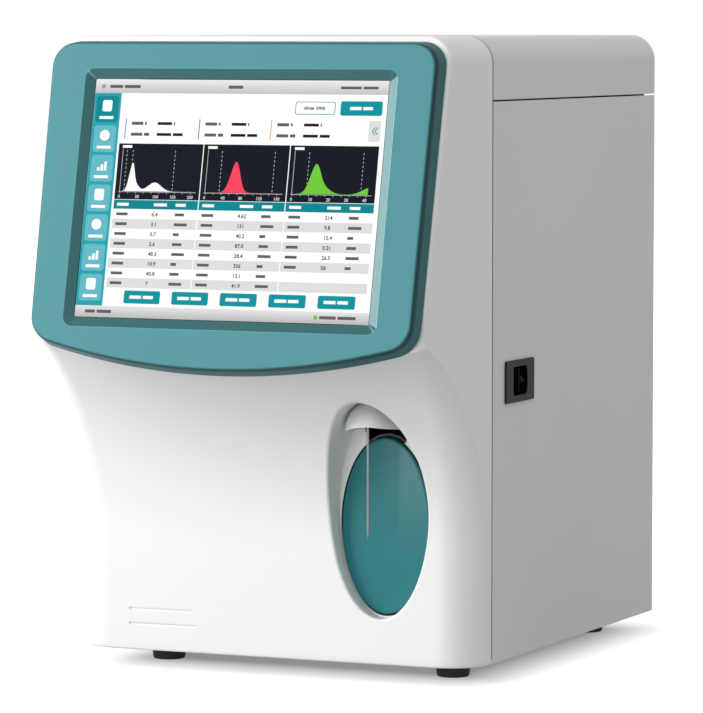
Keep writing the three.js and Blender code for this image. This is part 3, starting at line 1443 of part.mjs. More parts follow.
piece("power_supply", block([supplyX - supplyWidth / 2, supplyX + supplyWidth / 2],
  [supplyRear - supplyDepth, supplyRear], [floorZ + gap, floorZ + gap + supplyHeight]), zincSheet);

// The main board stands off the partition, with a few large parts on its outer face.
function makeMainBoard() {
  const boardX = partitionX - standoff;
  const face = boardX - boardThickness;
  const [rear, top] = [boardY + boardLength, boardZ + boardHeight];
  const panel = block([face, boardX], [boardY, rear], [boardZ, top]);
  const posts = [boardY + standoffInset, rear - standoffInset].flatMap((y) =>
    [boardZ + standoffInset, top - standoffInset].map((z) => rod("x", [y, z], standoffRadius,
      [boardX - boardThickness / 2, partitionX - gap], 12)));
  const chips = chipShares.map(([alongShare, upShare, sizeShare]) => {
    const reach = chipSize * sizeShare / 2;
    const [y, z] = [boardY + boardLength * alongShare, boardZ + boardHeight * upShare];
    return block([face - chipHeight, face + boardThickness / 2],
      [y - reach, y + reach], [z - reach, z + reach]);
  });
  const connector = block([face - edgeConnectorDepth, face + boardThickness / 2],
    edgeConnectorShares.map((share) => boardY + boardLength * share),
    [boardZ + chipHeight, boardZ + chipHeight + edgeConnectorHeight]);
  return join(panel, ...posts, ...chips, connector);
}

piece("main_board", makeMainBoard(), boardGreen);

// The finished part stands on its feet, with the middle of its outline over the origin.
const extent = new THREE.Box3().setFromObject(machine, true);
machine.position.set(-(extent.min.x + extent.max.x) / 2, -(extent.min.y + extent.max.y) / 2, -extent.min.z);
machine.updateMatrixWorld(true);
export default machine;
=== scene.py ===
# %% [markdown]
# A benchtop blood analyzer: a moulded white front with a tilted touch display and an oval sample bay,
# on a sheet metal body with a service door on the right.
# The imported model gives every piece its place. This file gives the pieces that show their fine surfaces
# and gives everything its finish.

# %% Load the model
import json
import math

import bmesh
import bpy
import numpy as np
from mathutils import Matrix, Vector

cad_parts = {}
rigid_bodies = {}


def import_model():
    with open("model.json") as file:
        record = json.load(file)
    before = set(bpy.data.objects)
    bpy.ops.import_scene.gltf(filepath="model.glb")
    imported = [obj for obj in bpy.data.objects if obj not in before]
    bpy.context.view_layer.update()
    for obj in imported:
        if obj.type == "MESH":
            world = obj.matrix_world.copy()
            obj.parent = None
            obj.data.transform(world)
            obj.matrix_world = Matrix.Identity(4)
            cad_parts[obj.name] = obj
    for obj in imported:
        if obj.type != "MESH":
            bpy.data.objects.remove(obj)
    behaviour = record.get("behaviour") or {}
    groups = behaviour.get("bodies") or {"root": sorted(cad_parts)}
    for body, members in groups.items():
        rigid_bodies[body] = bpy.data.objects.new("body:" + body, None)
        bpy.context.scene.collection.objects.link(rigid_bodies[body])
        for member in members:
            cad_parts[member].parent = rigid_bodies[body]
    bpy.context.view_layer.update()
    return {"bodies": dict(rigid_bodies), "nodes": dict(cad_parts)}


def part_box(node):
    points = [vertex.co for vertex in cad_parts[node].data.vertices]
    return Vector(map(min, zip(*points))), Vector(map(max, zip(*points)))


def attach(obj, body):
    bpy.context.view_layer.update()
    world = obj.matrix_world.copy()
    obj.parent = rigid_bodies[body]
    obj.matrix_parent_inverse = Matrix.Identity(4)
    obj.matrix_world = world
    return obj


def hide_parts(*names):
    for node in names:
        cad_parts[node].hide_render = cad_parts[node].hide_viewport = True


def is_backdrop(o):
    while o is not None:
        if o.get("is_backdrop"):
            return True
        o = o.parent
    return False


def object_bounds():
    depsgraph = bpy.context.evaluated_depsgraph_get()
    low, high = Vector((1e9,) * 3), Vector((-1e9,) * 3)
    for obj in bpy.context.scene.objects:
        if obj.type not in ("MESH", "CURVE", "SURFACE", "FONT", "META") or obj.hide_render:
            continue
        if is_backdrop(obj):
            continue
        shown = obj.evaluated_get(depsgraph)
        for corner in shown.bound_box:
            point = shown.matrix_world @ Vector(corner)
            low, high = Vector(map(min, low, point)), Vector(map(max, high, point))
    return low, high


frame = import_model()
nodes = frame["nodes"]

# %% [markdown]
# All shapes below are worked out in millimetres, in the maker's own frame: x to the right of the middle,
# y behind the seam of the front cover, z over the cover's lower edge. The model's boxes say where that
# frame lies, so nothing is fitted by eye.

# %% Places that the model gives
MM = 0.001
GAP = 0.3


def corners(node):
    """The lowest and highest corner of a node, in millimetres."""
    return tuple(np.array(corner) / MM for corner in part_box(node))


cover_low, cover_high = corners("front_cover")
top_low, top_high = corners("top_cover")
ORIGIN = np.array([(top_low[0] + top_high[0]) / 2, cover_high[1] + GAP, cover_low[2]])
HALF = (top_high[0] - top_low[0]) / 2
HEIGHT = top_high[2] - ORIGIN[2]


def here(node):
    """A node's corners in the maker's frame."""
    return tuple(corner - ORIGIN for corner in corners(node))


print("origin", ORIGIN.round(2), "half width", round(HALF, 2), "height", round(HEIGHT, 2))

# %% [markdown]
# Nearly every piece below is a stack of loops of points with quads between them. Blender could make such
# forms with modifiers, but a stack written as numbers says exactly where each edge lies. These tools turn
# a stack into faces, and join several forms into one.

# %% Faces between loops
def quads(rows, columns, close_rows=False, close_columns=False):
    """Corner numbers of the quads between neighbouring grid points; closing joins the last row or column
    to the first."""
    r = np.arange(rows if close_rows else rows - 1)
    c = np.arange(columns if close_columns else columns - 1)
    r0, c0 = np.meshgrid(r, c, indexing="ij")
    r1, c1 = (r0 + 1) % rows, (c0 + 1) % columns
    corner = [r0 * columns + c0, r0 * columns + c1, r1 * columns + c1, r1 * columns + c0]
    return np.stack([i.ravel() for i in corner], axis=1)


def tube(rows):
    """Points and faces of stacked loops of equal count, with a face over each end."""
    rows = np.array(rows)
    count, last = rows.shape[1], rows.shape[1] * (len(rows) - 1)
    faces = quads(len(rows), count, close_columns=True).tolist()
    return rows.reshape(-1, 3), faces + [list(range(count))[::-1], list(range(last, last + count))]


def joined(parts):
    """Several forms as one: each form's corner numbers start where the last form's points end."""
    faces, start = [], 0
    for points, own in parts:
        faces += [[start + corner for corner in face] for face in own]
        start += len(points)
    return np.concatenate([points for points, _ in parts]), faces


def facing(points, faces, sample, direction):
    """The faces, turned round if the one nearest to a point looks away from a direction."""
    centre = points[faces].mean(axis=1)
    nearest = faces[np.argmin(((centre - np.array(sample)) ** 2).sum(axis=1))]
    a, b, _, d = points[nearest]
    return faces if np.dot(np.cross(b - a, d - a), direction) > 0 else faces[:, ::-1]


print(len(quads(3, 4)), "quads between 3 rows of 4 points")

# %% [markdown]
# Most outlines here are corners with straight runs between them. Drawing them from arcs gives every
# corner as many points as its neighbours, so that two outlines can be joined point by point.

# %% Arcs and rounded rectangles
QUARTER = math.pi / 2


def full_turn(count):
    """Evenly spaced angles of a full turn."""
    return np.linspace(0, 2 * math.pi, count + 1)[:-1]


def oval(centre, half, angle):
    """Points of an oval: centre + half (cos a, sin a), where half is one number for a circle."""
    return np.asarray(centre) + half * np.stack([np.cos(angle), np.sin(angle)], axis=1)


def arc(centre, radius, start, stop, steps):
    """Points of a circle from one angle to another."""
    return oval(centre, radius, np.linspace(start, stop, steps + 1))


def linked(arcs, edge_steps):
    """Arcs joined into one loop by straight runs, each with its own count of steps."""
    parts = []
    for bend, following, steps in zip(arcs, arcs[1:] + arcs[:1], edge_steps):
        share = np.linspace(0, 1, steps + 1)[1:-1, None]
        parts += [bend, bend[-1] + (following[0] - bend[-1]) * share]
    return np.concatenate(parts)


def rounded_loop(half, radius, arc_steps=8, edge_steps=(12, 12), middle=(0.0, 0.0)):
    """A rounded rectangle as (across, up) points, anticlockwise from the right edge's top."""
    bends = [arc((sx * (half[0] - radius), sy * (half[1] - radius)), radius,
                 QUARTER * corner, QUARTER * (corner + 1), arc_steps)
             for corner, (sx, sy) in enumerate([(1, 1), (-1, 1), (-1, -1), (1, -1)])]
    return linked(bends, [edge_steps[i % len(edge_steps)] for i in range(4)]) + np.array(middle)


def at_depth(place, y):
    """Points (x, y, z) from (x, z) places and their y."""
    return np.stack([place[:, 0], np.full(len(place), y), place[:, 1]], axis=1)


print(len(rounded_loop((20, 10), 3)), "points round a rectangle")

# %% [markdown]
# A mesh becomes a piece when it has its material, rides on its body and stands for the plain solid that
# it replaces. The same few Blender calls do that for all pieces, so each is written once.

# %% Meshes and pieces
def new_object(name, data):
    """A new object, linked into the scene."""
    thing = bpy.data.objects.new(name, data)
    bpy.context.scene.collection.objects.link(thing)
    return thing


def add_piece(name, mesh, finish, body, replaces=(), slot=None):
    """A finished piece: it takes its material, rides on its body and stands for the nodes it replaces."""
    piece = new_object(name, mesh)
    piece.data.materials.clear()
    piece.data.materials.append(finish)
    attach(piece, body)
    if replaces:
        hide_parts(*replaces)
    (slot or replaces[0]) + "_finish"
    return piece


def set_smooth(mesh, degrees=35):
    """Smooth shading, except over edges sharper than an angle."""
    mesh.shade_smooth()
    mesh.set_sharp_from_angle(angle=math.radians(degrees))
    return mesh


def make_mesh(name, points, faces, smooth_degrees=35):
    """A mesh from points in the maker's frame and lists of corner numbers."""
    mesh = bpy.data.meshes.new(name)
    placed = (np.asarray(points, float).reshape(-1, 3) + ORIGIN) * MM
    mesh.from_pydata(placed.tolist(), [], [list(map(int, face)) for face in faces])
    mesh.update()
    return set_smooth(mesh, smooth_degrees)


def tidy_mesh(mesh, merge_mm=0.02, dissolve_degrees=0.0, recalculate=True):
    """Merges points that lie together, joins faces in one plane and turns faces outward, where asked."""
    work = bmesh.new()
    work.from_mesh(mesh)
    bmesh.ops.remove_doubles(work, verts=work.verts, dist=merge_mm * MM)
    if dissolve_degrees:
        bmesh.ops.dissolve_limit(work, angle_limit=math.radians(dissolve_degrees),
                                 verts=work.verts, edges=work.edges)
    if recalculate:
        bmesh.ops.recalc_face_normals(work, faces=work.faces)
    work.to_mesh(mesh)
    work.free()
    return mesh


def add_solid(name, form, *finish_and_place, **more):
    """A piece from a closed form, with its doubled points merged and its faces turned outward."""
    return add_piece(name, tidy_mesh(make_mesh(name, *form)), *finish_and_place, **more)


print("pieces are linked and ridden by one function")

# %% [markdown]
# Walls, cuts and rounded edges are left to modifiers, because they follow the form when it changes.

# %% Modifiers
def baked(piece):
    """The mesh that a piece's modifiers make, as a plain mesh."""
    bpy.context.view_layer.update()
    seen = piece.evaluated_get(bpy.context.evaluated_depsgraph_get())
    return bpy.data.meshes.new_from_object(seen)


def add_modifier(piece, kind, **settings):
    """A modifier with its settings."""
    modifier = piece.modifiers.new(kind.lower(), kind)
    for name, value in settings.items():
        setattr(modifier, name, value)


def add_bevel(piece, width, segments=2, degrees=35):
    """Rounds the sharp edges of a piece by a small width in millimetres."""
    add_modifier(piece, "BEVEL", width=width * MM, segments=segments, limit_method="ANGLE",
                 angle_limit=math.radians(degrees), harden_normals=True)


print("modifiers: wall, cut and rounded edges")

# %% [markdown]
# Materials are small node trees. A class wraps one socket, so that a pattern can be written as a sum or a
# product, and one method makes any other node from its type, its settings and its inputs.

# %% Shader helpers
class Field:
    """One output socket; sums and products with it add Math nodes."""

    def __init__(self, finish, socket):
        self.finish, self.socket = finish, socket

    def math(self, operation, first, second):
        node = self.finish.node("ShaderNodeMath", {"operation": operation}, {0: first, 1: second})
        return node["Value"]

    def __add__(self, other):
        return self.math("ADD", self, other)

    def __sub__(self, other):
        return self.math("SUBTRACT", self, other)

    def __rsub__(self, other):
        return self.math("SUBTRACT", other, self)

    def __mul__(self, other):
        return self.math("MULTIPLY", self, other)

    __radd__, __rmul__ = __add__, __mul__

    def clamp(self, low, high):
        return self.math("MINIMUM", self.math("MAXIMUM", self, low), high)


class Made:
    """A node whose outputs are asked for by name or number."""

    def __init__(self, finish, node):
        self.finish, self.node = finish, node

    def __getitem__(self, output):
        return Field(self.finish, self.node.outputs[output])


class Nodes:
    """A node tree, whose node method makes every node that is added to it."""

    def __init__(self, tree):
        self.tree = tree

    def node(self, kind, settings=None, inputs=None):
        node = self.tree.nodes.new(kind)
        for name, value in (settings or {}).items():
            setattr(node, name, value)
        for name, value in (inputs or {}).items():
            self.put(node.inputs[name], value)
        return Made(self, node)

    def put(self, socket, value):
        """Links a field to a socket, or gives the socket a value."""
        if isinstance(value, Field):
            self.tree.links.new(value.socket, socket)
        else:
            socket.default_value = value

    def vector(self, operation, inputs, output="Vector"):
        """The result of a Vector Math node."""
        return self.node("ShaderNodeVectorMath", {"operation": operation}, inputs)[output]

    def scaled(self, rgba, share):
        """A colour made darker or lighter by a field."""
        return self.vector("SCALE", {0: rgba, "Scale": share})


print("shader expressions: + - * and clamp")

# %% [markdown]
# Each material is one Principled shader. Its patterns take their place from the object's own coordinates,
# so they stay on a piece that moves, and a grain can be given in cells per millimetre.

# %% A material and its patterns
def colour(red, green, blue):
    """A colour of the screen's 0 to 255 scale as linear values."""
    share = np.array([red, green, blue]) / 255
    linear = np.where(share <= 0.04045, share / 12.92, ((share + 0.055) / 1.055) ** 2.4)
    return (*(float(v) for v in linear), 1.0)


def shaded(rgba, share):
    return (*(v * share for v in rgba[:3]), 1.0)


class Finish(Nodes):
    """A material with one Principled shader."""

    def __init__(self, name, rgba, roughness, **constants):
        self.material = bpy.data.materials.new(name)
        self.material.use_nodes = True
        self.material.diffuse_color = self.rgba = rgba
        super().__init__(self.material.node_tree)
        self.shader = self.tree.nodes["Principled BSDF"]
        for socket, value in {"Base Color": rgba, "Roughness": roughness, **constants}.items():
            self.set(socket.replace("_", " "), value)

    def set(self, socket, value):
        self.put(self.shader.inputs[socket], value)

    def place(self):
        return self.node("ShaderNodeTexCoord")["Object"]

    def noise(self, per_mm, detail, roughness=0.5, stretch=(1, 1, 1)):
        """Noise with so many cells per millimetre, drawn out along an axis by a small stretch there."""
        spot = self.node("ShaderNodeMapping", {}, {"Vector": self.place(), "Scale": stretch})["Vector"]
        return self.node("ShaderNodeTexNoise", {}, {
            "Vector": spot, "Scale": per_mm / MM, "Detail": detail, "Roughness": roughness})["Fac"]

    def attribute(self, name, output):
        """A value that the mesh holds."""
        return self.node("ShaderNodeAttribute", {"attribute_name": name})[output]

    def tint(self, factor, first, second):
        """A colour between two colours."""
        return self.node("ShaderNodeMix", {"data_type": "RGBA"}, {0: factor, 6: first, 7: second})[2]

    def dressed(self, drift, shades, gloss, height, strength, depth_mm, tone=None):
        """The material: a field moves its colour between two shades, another is its roughness, a third
        bumps its surface, and a tone, which carries painted light, may darken or lighten the colour."""
        base = self.tint(drift, *(shaded(self.rgba, share) for share in shades))
        self.set("Base Color", self.scaled(base, tone) if tone else base)
        self.set("Roughness", gloss)
        self.set("Normal", self.node("ShaderNodeBump", {}, {
            "Height": height, "Strength": strength, "Distance": depth_mm * MM})["Normal"])
        return self.material


print("white, 0 to 1:", round(colour(236, 237, 235)[0], 3))

# %% [markdown]
# The mouldings are ABS with a fine spark texture: a broad, faint change of tone where the plastic flowed,
# and a grain a third of a millimetre across that breaks up the gloss. The body is powder coated, which
# has a coarser orange peel. One function for each kind is enough, because only colours and grains differ.

# %% Plastics, paint and rubber
def moulded(name, rgba, roughness, grain=0.12, tone=0.03, specular=0.5):
    """Moulded plastic: tone drifts over centimetres, and a fine grain bumps the surface."""
    finish = Finish(name, rgba, roughness, Specular_IOR_Level=specular)
    speckle = finish.noise(1 / 0.35, 2.0)
    gloss = (speckle - 0.5) * 0.12 + finish.noise(0.05, 3.0) * 0.06 + (roughness - 0.03)
    return finish.dressed(finish.noise(0.012, 2.0), (1 - tone, 1 + tone), gloss, speckle, grain, 0.06)


def light_painted_moulding(name, rgba, roughness, specular, reflects=(1, 1, 1, 1)):
    """Moulded plastic with painted light: darker as painted shade where the piece's tone attribute is low,
    lighter as a painted highlight above one.
    """
    finish = Finish(name, rgba, roughness, Specular_IOR_Level=specular, Specular_Tint=reflects)
    grain = finish.noise(3.0, 2.0)
    return finish.dressed(finish.noise(0.01, 2.0), (0.97, 1.03), grain * 0.04 + (roughness - 0.02),
                          grain, 0.05, 0.05, finish.attribute("tone", "Fac"))


def powder_coat(name, rgba, roughness):
    """Powder coat: shallow waves a millimetre or two long."""
    finish = Finish(name, rgba, roughness, Specular_IOR_Level=0.2)
    waves = finish.noise(0.55, 3.0)
    return finish.dressed(finish.noise(0.008, 2.0), (0.975, 1.02), waves * 0.1 + (roughness - 0.05),
                          waves, 0.1, 0.08)


def worn_rubber(name, rgba):
    """Rubber: nearly no gloss, with a dusty bloom that thickens in patches."""
    finish = Finish(name, rgba, 0.8, Specular_IOR_Level=0.35)
    bloom = finish.noise(0.15, 4.0)
    return finish.dressed(bloom, (0.85, 1.35), bloom * 0.2 + 0.66, finish.noise(1.6, 2.0), 0.15, 0.05)


def clear_plastic(name, rgba, roughness):
    """Clear acrylic, thinly tinted, that lets most light through."""
    finish = Finish(name, rgba, roughness, Transmission_Weight=0.85, IOR=1.49)
    finish.set("Roughness", finish.noise(0.1, 2.0) * 0.08 + roughness)
    return finish.material


WHITE, TEAL_FACE = colour(236, 237, 235), colour(79, 142, 147)
white_moulding = moulded("white_moulding", WHITE, 0.42, grain=0.07, tone=0.012, specular=0.35)
teal_gloss = moulded("teal_gloss", colour(40, 118, 123), 0.26, grain=0.02, specular=0.22)
grey_moulding = moulded("grey_moulding", colour(50, 51, 49), 0.6, specular=0.1)
dark_moulding = moulded("dark_moulding", colour(36, 38, 38), 0.55)
# Near-black: the latch slider's dark plastic, and painted shade in the latch's recess.
black_and_painted_shade = moulded("black_and_painted_shade", colour(11, 12, 15), 0.6, specular=0.05)
resin = moulded("natural_resin", colour(228, 224, 212), 0.5)
panel_paint = powder_coat("panel_paint", colour(222, 224, 220), 0.5)
foot_rubber = worn_rubber("foot_rubber", colour(44, 48, 48))
belt_rubber = worn_rubber("belt_rubber", colour(30, 31, 32))
# Black for the strip that fills the front seam as painted shade.
seam_shade_black = worn_rubber("seam_shade_black", colour(20, 20, 21))
clear = clear_plastic("clear_acrylic", colour(226, 238, 242), 0.06)
print(len(bpy.data.materials), "plastics, paints and rubbers")

# %% [markdown]
# Rods, frames and brackets are bare metal. Grinding and brushing leave lines along one direction, so the
# noise is drawn out that way; zinc plate shows small crystals instead, which are a Voronoi pattern.

# %% Metals
def brushed(name, rgba, roughness, along=(1, 1, 0.05), metallic=1.0):
    """Worked metal: noise drawn out along the way it was brushed or ground."""
    finish = Finish(name, rgba, roughness, Metallic=metallic)
    lines = finish.noise(2.2, 3.0, 0.6, along)
    return finish.dressed(finish.noise(0.03, 3.0), (0.92, 1.05), lines * 0.16 + (roughness - 0.08),
                          lines, 0.08, 0.03)


def zinc_plated(name):
    """Zinc plate: small bright and dull cells, faintly yellow in places."""
    finish = Finish(name, (0.8, 0.8, 0.8, 1), 0.35, Metallic=1.0)
    cells = finish.node("ShaderNodeTexVoronoi", {}, {"Vector": finish.place(), "Scale": 0.25 / MM})
    tone = finish.node("ShaderNodeSeparateColor", {}, {"Color": cells["Color"]})["Red"]
    finish.set("Base Color", finish.tint(tone, colour(176, 180, 182), colour(198, 200, 196)))
    finish.set("Roughness", tone * 0.14 + 0.3)
    return finish.material


ground_steel = brushed("ground_steel", colour(200, 203, 205), 0.24)
milled_aluminium = brushed("milled_aluminium", colour(190, 193, 195), 0.36, (1, 0.05, 1))
black_anodised = brushed("black_anodised", colour(34, 35, 37), 0.42, (1, 0.1, 1), 0.6)
black_steel = brushed("black_steel", colour(13, 13, 14), 0.6, (1, 1, 1), 0.2)
zinc = zinc_plated("zinc_plate")
print(len(bpy.data.materials), "materials so far")

# %% [markdown]
# The front cover is one moulding. It could be sculpted, but its surface follows a few rules, so it is a
# stack of rings instead: each ring runs from the seam along the side, round an upright corner, across the
# front and back on the other side. Up the neck the front swings forward as a quarter of an ellipse, which
# ends along the arc of the bezel's lower edge, so the rings there are bent to follow that arc and the
# crease falls on a ring.

# %% Form of the front cover
TILT = math.radians(12.1)
SCREEN = np.array([0.0, -88.0, 306.8])
ACTIVE_HALF = np.array([105.6, 79.2])
BEZEL_FACE, BEZEL_DEPTH = 2.85, 12.75
BEZEL_TOP, BEZEL_BOTTOM = 106.8, 114.2
BEZEL_UPPER_HALF, BEZEL_LOWER_HALF = 140.4, 138.4
BEZEL_RISE, BEZEL_RISE_SPAN = 16.5, 126.0
SEAT = BEZEL_DEPTH - BEZEL_FACE + GAP
FRONT_DEPTH, SIDE_DRAFT = 30.4, 0.09
LOW_CORNER, HIGH_CORNER, RIM_CORNER = 28.0, 14.0, 2.6
FLARE_HEIGHT, FLARE_RISE, FLARE_REACH, FLARE_TOP = 120.0, 135.0, 120.0, 240.0
CREST_RISE, TOP_RADIUS, EDGE_ROUND, LEDGE = 5.0, 18.0, 1.4, 0.9
ARC_RADIUS = (BEZEL_RISE_SPAN**2 + BEZEL_RISE**2) / (2 * BEZEL_RISE)


def edge_z(x):
    """Height of the bezel's lower edge, one wide arc, on the plane that the bezel sits on, and lower by a
    narrow ledge."""
    drop = np.sqrt(ARC_RADIUS**2 - np.minimum(np.abs(x), BEZEL_LOWER_HALF) ** 2)
    return SCREEN[2] + (-BEZEL_BOTTOM + ARC_RADIUS - drop - LEDGE) * math.cos(TILT) - SEAT * math.sin(TILT)


CREASE = float(edge_z(0.0))
FLARE_START, CREST = CREASE - FLARE_HEIGHT, CREASE + CREST_RISE


def front_reach(x, z):
    """The front's reach: upright, then a quarter ellipse forward, and no farther than the bezel's plane."""
    plane = -SCREEN[1] - (SEAT + (z - SCREEN[2]) * math.sin(TILT)) / math.cos(TILT)
    climb = np.clip(z - edge_z(x) + FLARE_HEIGHT, 0, FLARE_RISE)
    flare = FLARE_REACH * (1 - np.sqrt(1 - (climb / FLARE_RISE) ** 2))
    return np.minimum(plane, FRONT_DEPTH + flare)


def corner_radius(level):
    """Radius of the upright corner: wide low down, tighter up the neck, a small rim beside the bezel."""
    up = np.clip((level - FLARE_START) / FLARE_HEIGHT, 0, 1)
    over = np.clip((level - CREASE) / (FLARE_TOP - CREASE), 0, 1)
    neck = LOW_CORNER + (HIGH_CORNER - LOW_CORNER) * up
    return neck + (RIM_CORNER - neck) * np.sqrt(over)


def ring_height(level, x):
    """Height of a ring at x: bent along the bezel's edge on the neck, level elsewhere."""
    below = (level - FLARE_START / 2) / (FLARE_START / 2)
    above = (FLARE_TOP - level) / (FLARE_TOP - CREST)
    bend = np.clip(np.minimum(below, above), 0, 1)
    return level + bend * (edge_z(x) - CREASE)


def level_at(x, z):
    """The ring that passes through a point, found by a few rounds of correction."""
    level = z
    for _ in range(6):
        level = level + z - ring_height(level, x)
    return level


print("flare from", round(FLARE_START, 1), "to", round(CREASE, 1))

# %% [markdown]
# A moulding leaves its mould only if its sides lean a little, and none of its edges is sharp. So the
# sides draw in toward the front, and the upper and lower edges are rounded back.

# %% Sides, corners and edges of the front cover
def half_width(z):
    """Half the width at a height: full, then drawn in over the rounded top edge."""
    over = np.maximum(0, z - (HEIGHT - TOP_RADIUS))
    return HALF - TOP_RADIUS + np.sqrt(np.maximum(0, TOP_RADIUS**2 - over**2))


def edge_inset(z):
    """How far the lower and the upper edge of the front are rounded back: r - sqrt(r r - d d), with twice
    the radius at the top."""
    low = np.clip(EDGE_ROUND - z, 0, EDGE_ROUND)
    high = np.clip(z - HEIGHT + 2 * EDGE_ROUND, 0, 2 * EDGE_ROUND)
    return (EDGE_ROUND - np.sqrt(EDGE_ROUND**2 - low**2)
            + 2 * EDGE_ROUND - np.sqrt(4 * EDGE_ROUND**2 - high**2))


def shoulder_of(level):
    """The corner's radius at a ring, and the x at which its corner starts from the drafted side."""
    radius = corner_radius(level)
    z = ring_height(level, HALF)
    wide = half_width(z)
    return radius, wide - SIDE_DRAFT * np.maximum(0, front_reach(wide, z) - radius)


def front_y(x, z):
    """The cover's front at any place that faces forward, the corners' front halves included."""
    radius, shoulder = shoulder_of(level_at(np.abs(x), z))
    across = np.clip((np.abs(x) - (shoulder - radius)) / radius, 0, 1)
    return radius * (1 - np.sqrt(1 - across**2)) - front_reach(x, z) + edge_inset(z)


print("front at the bay's middle", round(float(front_y(80.5, 102.9)), 1))

# %% [markdown]
# The rings lie close together where the surface bends and far apart where it is flat, so few faces give a
# clean highlight. The right half is worked out and the left half mirrors it.

# %% Rings of the front cover
SIDE_STEPS, CORNER_STEPS, FRONT_STEPS = 5, 16, 84
spans = [(EDGE_ROUND, FLARE_START, 22), (FLARE_START, CREASE, 41), (CREASE, CREST, 4),
         (CREST, FLARE_TOP, 10), (FLARE_TOP, HEIGHT - TOP_RADIUS, 12)]
levels = np.concatenate([
    EDGE_ROUND * (1 - np.cos(np.linspace(0, QUARTER, 5))), *(np.linspace(*span)[1:] for span in spans),
    HEIGHT - TOP_RADIUS + TOP_RADIUS * np.sin(np.linspace(0, QUARTER, 15))[1:]])


def cover_rings(levels):
    """Points of every ring, right seam to left seam.
    Side: straight from the seam to the corner. Corner: x = shoulder - r (1 - cos a), set back by
    r (1 - sin a). Front: even steps in x."""
    level = levels[:, None]
    radius, shoulder = shoulder_of(level)
    angle = np.linspace(0, QUARTER, CORNER_STEPS + 1)[None, :]
    corner_x = shoulder - radius * (1 - np.cos(angle))
    front_x = corner_x[:, -1:] * np.linspace(1, 0, FRONT_STEPS // 2 + 1)[None, 1:]
    wide = half_width(ring_height(level, HALF))
    side_share = np.linspace(0, 1, SIDE_STEPS)[None, :-1]
    x = np.concatenate([wide + (shoulder - wide) * side_share, corner_x, front_x], axis=1)
    z = ring_height(level, x)
    corner_z = z[:, SIDE_STEPS - 1:][:, :CORNER_STEPS + 1]
    corner_y = radius * (1 - np.sin(angle)) - front_reach(corner_x, corner_z)
    side_y = -GAP + (corner_y[:, :1] + GAP) * side_share
    y = np.concatenate([side_y, corner_y, -front_reach(front_x, z[:, -(FRONT_STEPS // 2):])], axis=1)
    y = y + edge_inset(z) * np.clip((-y - GAP) / FRONT_DEPTH * 2, 0, 1)
    x = x - edge_inset(np.minimum(z, HEIGHT / 2)) * np.clip(x / HALF * 2 - 1, 0, 1)
    right = np.stack([x, y, z], axis=-1)
    return np.concatenate([right, right[:, -2::-1] * np.array([-1, 1, 1])], axis=1)


rings = cover_rings(levels)
print("front cover rings", rings.shape)

# %% [markdown]
# The sample bay is an oval dish moulded into that skin. It could be cut with a boolean, but its lip is
# rounded and its wall runs out of a curved neck, so a rectangle is left out of the grid instead, and the
# place is filled by loops: from the rectangle's edge in to the oval, over the lip, down the wall, and
# over the floor to the key's hole. Every loop has as many points as the rectangle's edge.

# %% The bay's loops
BAY, BAY_HALF, BAY_NARROWING = np.array([80.5, 102.9]), np.array([34.9, 72.7]), np.array([0.6, 0.9])
BAY_FLOOR_Y, BAY_DROP, BAY_LIP = -17.4, 1.8, 1.8
KEY, KEY_HALF = np.array([80.0, 90.6]), np.array([31.5, 58.4])
KEY_CLEARANCE, HOLE_LIMIT, HOLE_CHAMFER = 1.3, 0.993, 0.25
LIP_FOOT = BAY_LIP - FRONT_DEPTH


def rectangle_edge(rows, columns):
    """Grid places along a rectangle's edge, anticlockwise seen from the front."""
    (r0, r1), (c0, c1) = rows, columns
    bottom = [(r0, c) for c in range(c1, c0, -1)]
    right = [(r, c0) for r in range(r0, r1)]
    top = [(r1, c) for c in range(c0, c1)]
    left = [(r, c1) for r in range(r1, r0, -1)]
    return np.array(bottom + right + top + left)


def bay_loops(edge_points):
    """All loops of the bay as (loop, point, xyz).
    Front: straight lines in x and z to the lip's outer oval, y from the front. Lip: in by r sin a and
    back by r (1 - cos a). Wall: straight back to the flat front's plane, then evenly narrower to the
    floor. Floor: straight lines to the key's hole, which keeps a hair inside the floor."""
    flat = edge_points[:, [0, 2]]
    angle = np.arctan2(*((flat - BAY) / BAY_HALF)[:, ::-1].T)
    outer = oval(BAY, BAY_HALF + BAY_LIP, angle)
    loops = []
    for share in 1 - (1 - np.linspace(0, 1, 12)[1:]) ** 1.4:
        place = flat + (outer - flat) * share
        loops.append(at_depth(place, front_y(*place.T)))
    for turn in np.linspace(0, QUARTER, 8)[1:]:
        place = oval(BAY, BAY_HALF + BAY_LIP * (1 - math.sin(turn)), angle)
        loops.append(at_depth(place, front_y(*place.T) + BAY_LIP * (1 - math.cos(turn))))
    lip_y = loops[-1][:, 1]
    for share in np.linspace(0, 1, 6)[1:]:
        loops.append(at_depth(place, np.maximum(lip_y, lip_y + (LIP_FOOT - lip_y) * share)))
    start = loops[-1][:, 1]
    for share in np.linspace(0, 1, 8)[1:]:
        centre, half = BAY - np.array([0, BAY_DROP]) * share, BAY_HALF - BAY_NARROWING * share
        floor = oval(centre, half, angle)
        loops.append(at_depth(floor, start + (BAY_FLOOR_Y - start) * share))
    hole = oval(KEY, KEY_HALF + KEY_CLEARANCE, angle)
    crowding = np.sqrt((((hole - centre) / half) ** 2).sum(axis=1))
    hole = centre + (hole - centre) * np.minimum(1, HOLE_LIMIT / crowding)[:, None]
    for share in np.linspace(0, 1, 6)[1:]:
        y = BAY_FLOOR_Y + (HOLE_CHAMFER if share == 1 else 0)
        loops.append(at_depth(floor + (hole - floor) * share, y))
    return np.array(loops)


PATCH_X, PATCH_Z = (127, 38), (21, 187)


def nearest_index(values, targets):
    """Which of the values lies nearest to each target."""
    return tuple(int(np.argmin(np.abs(values - target))) for target in targets)


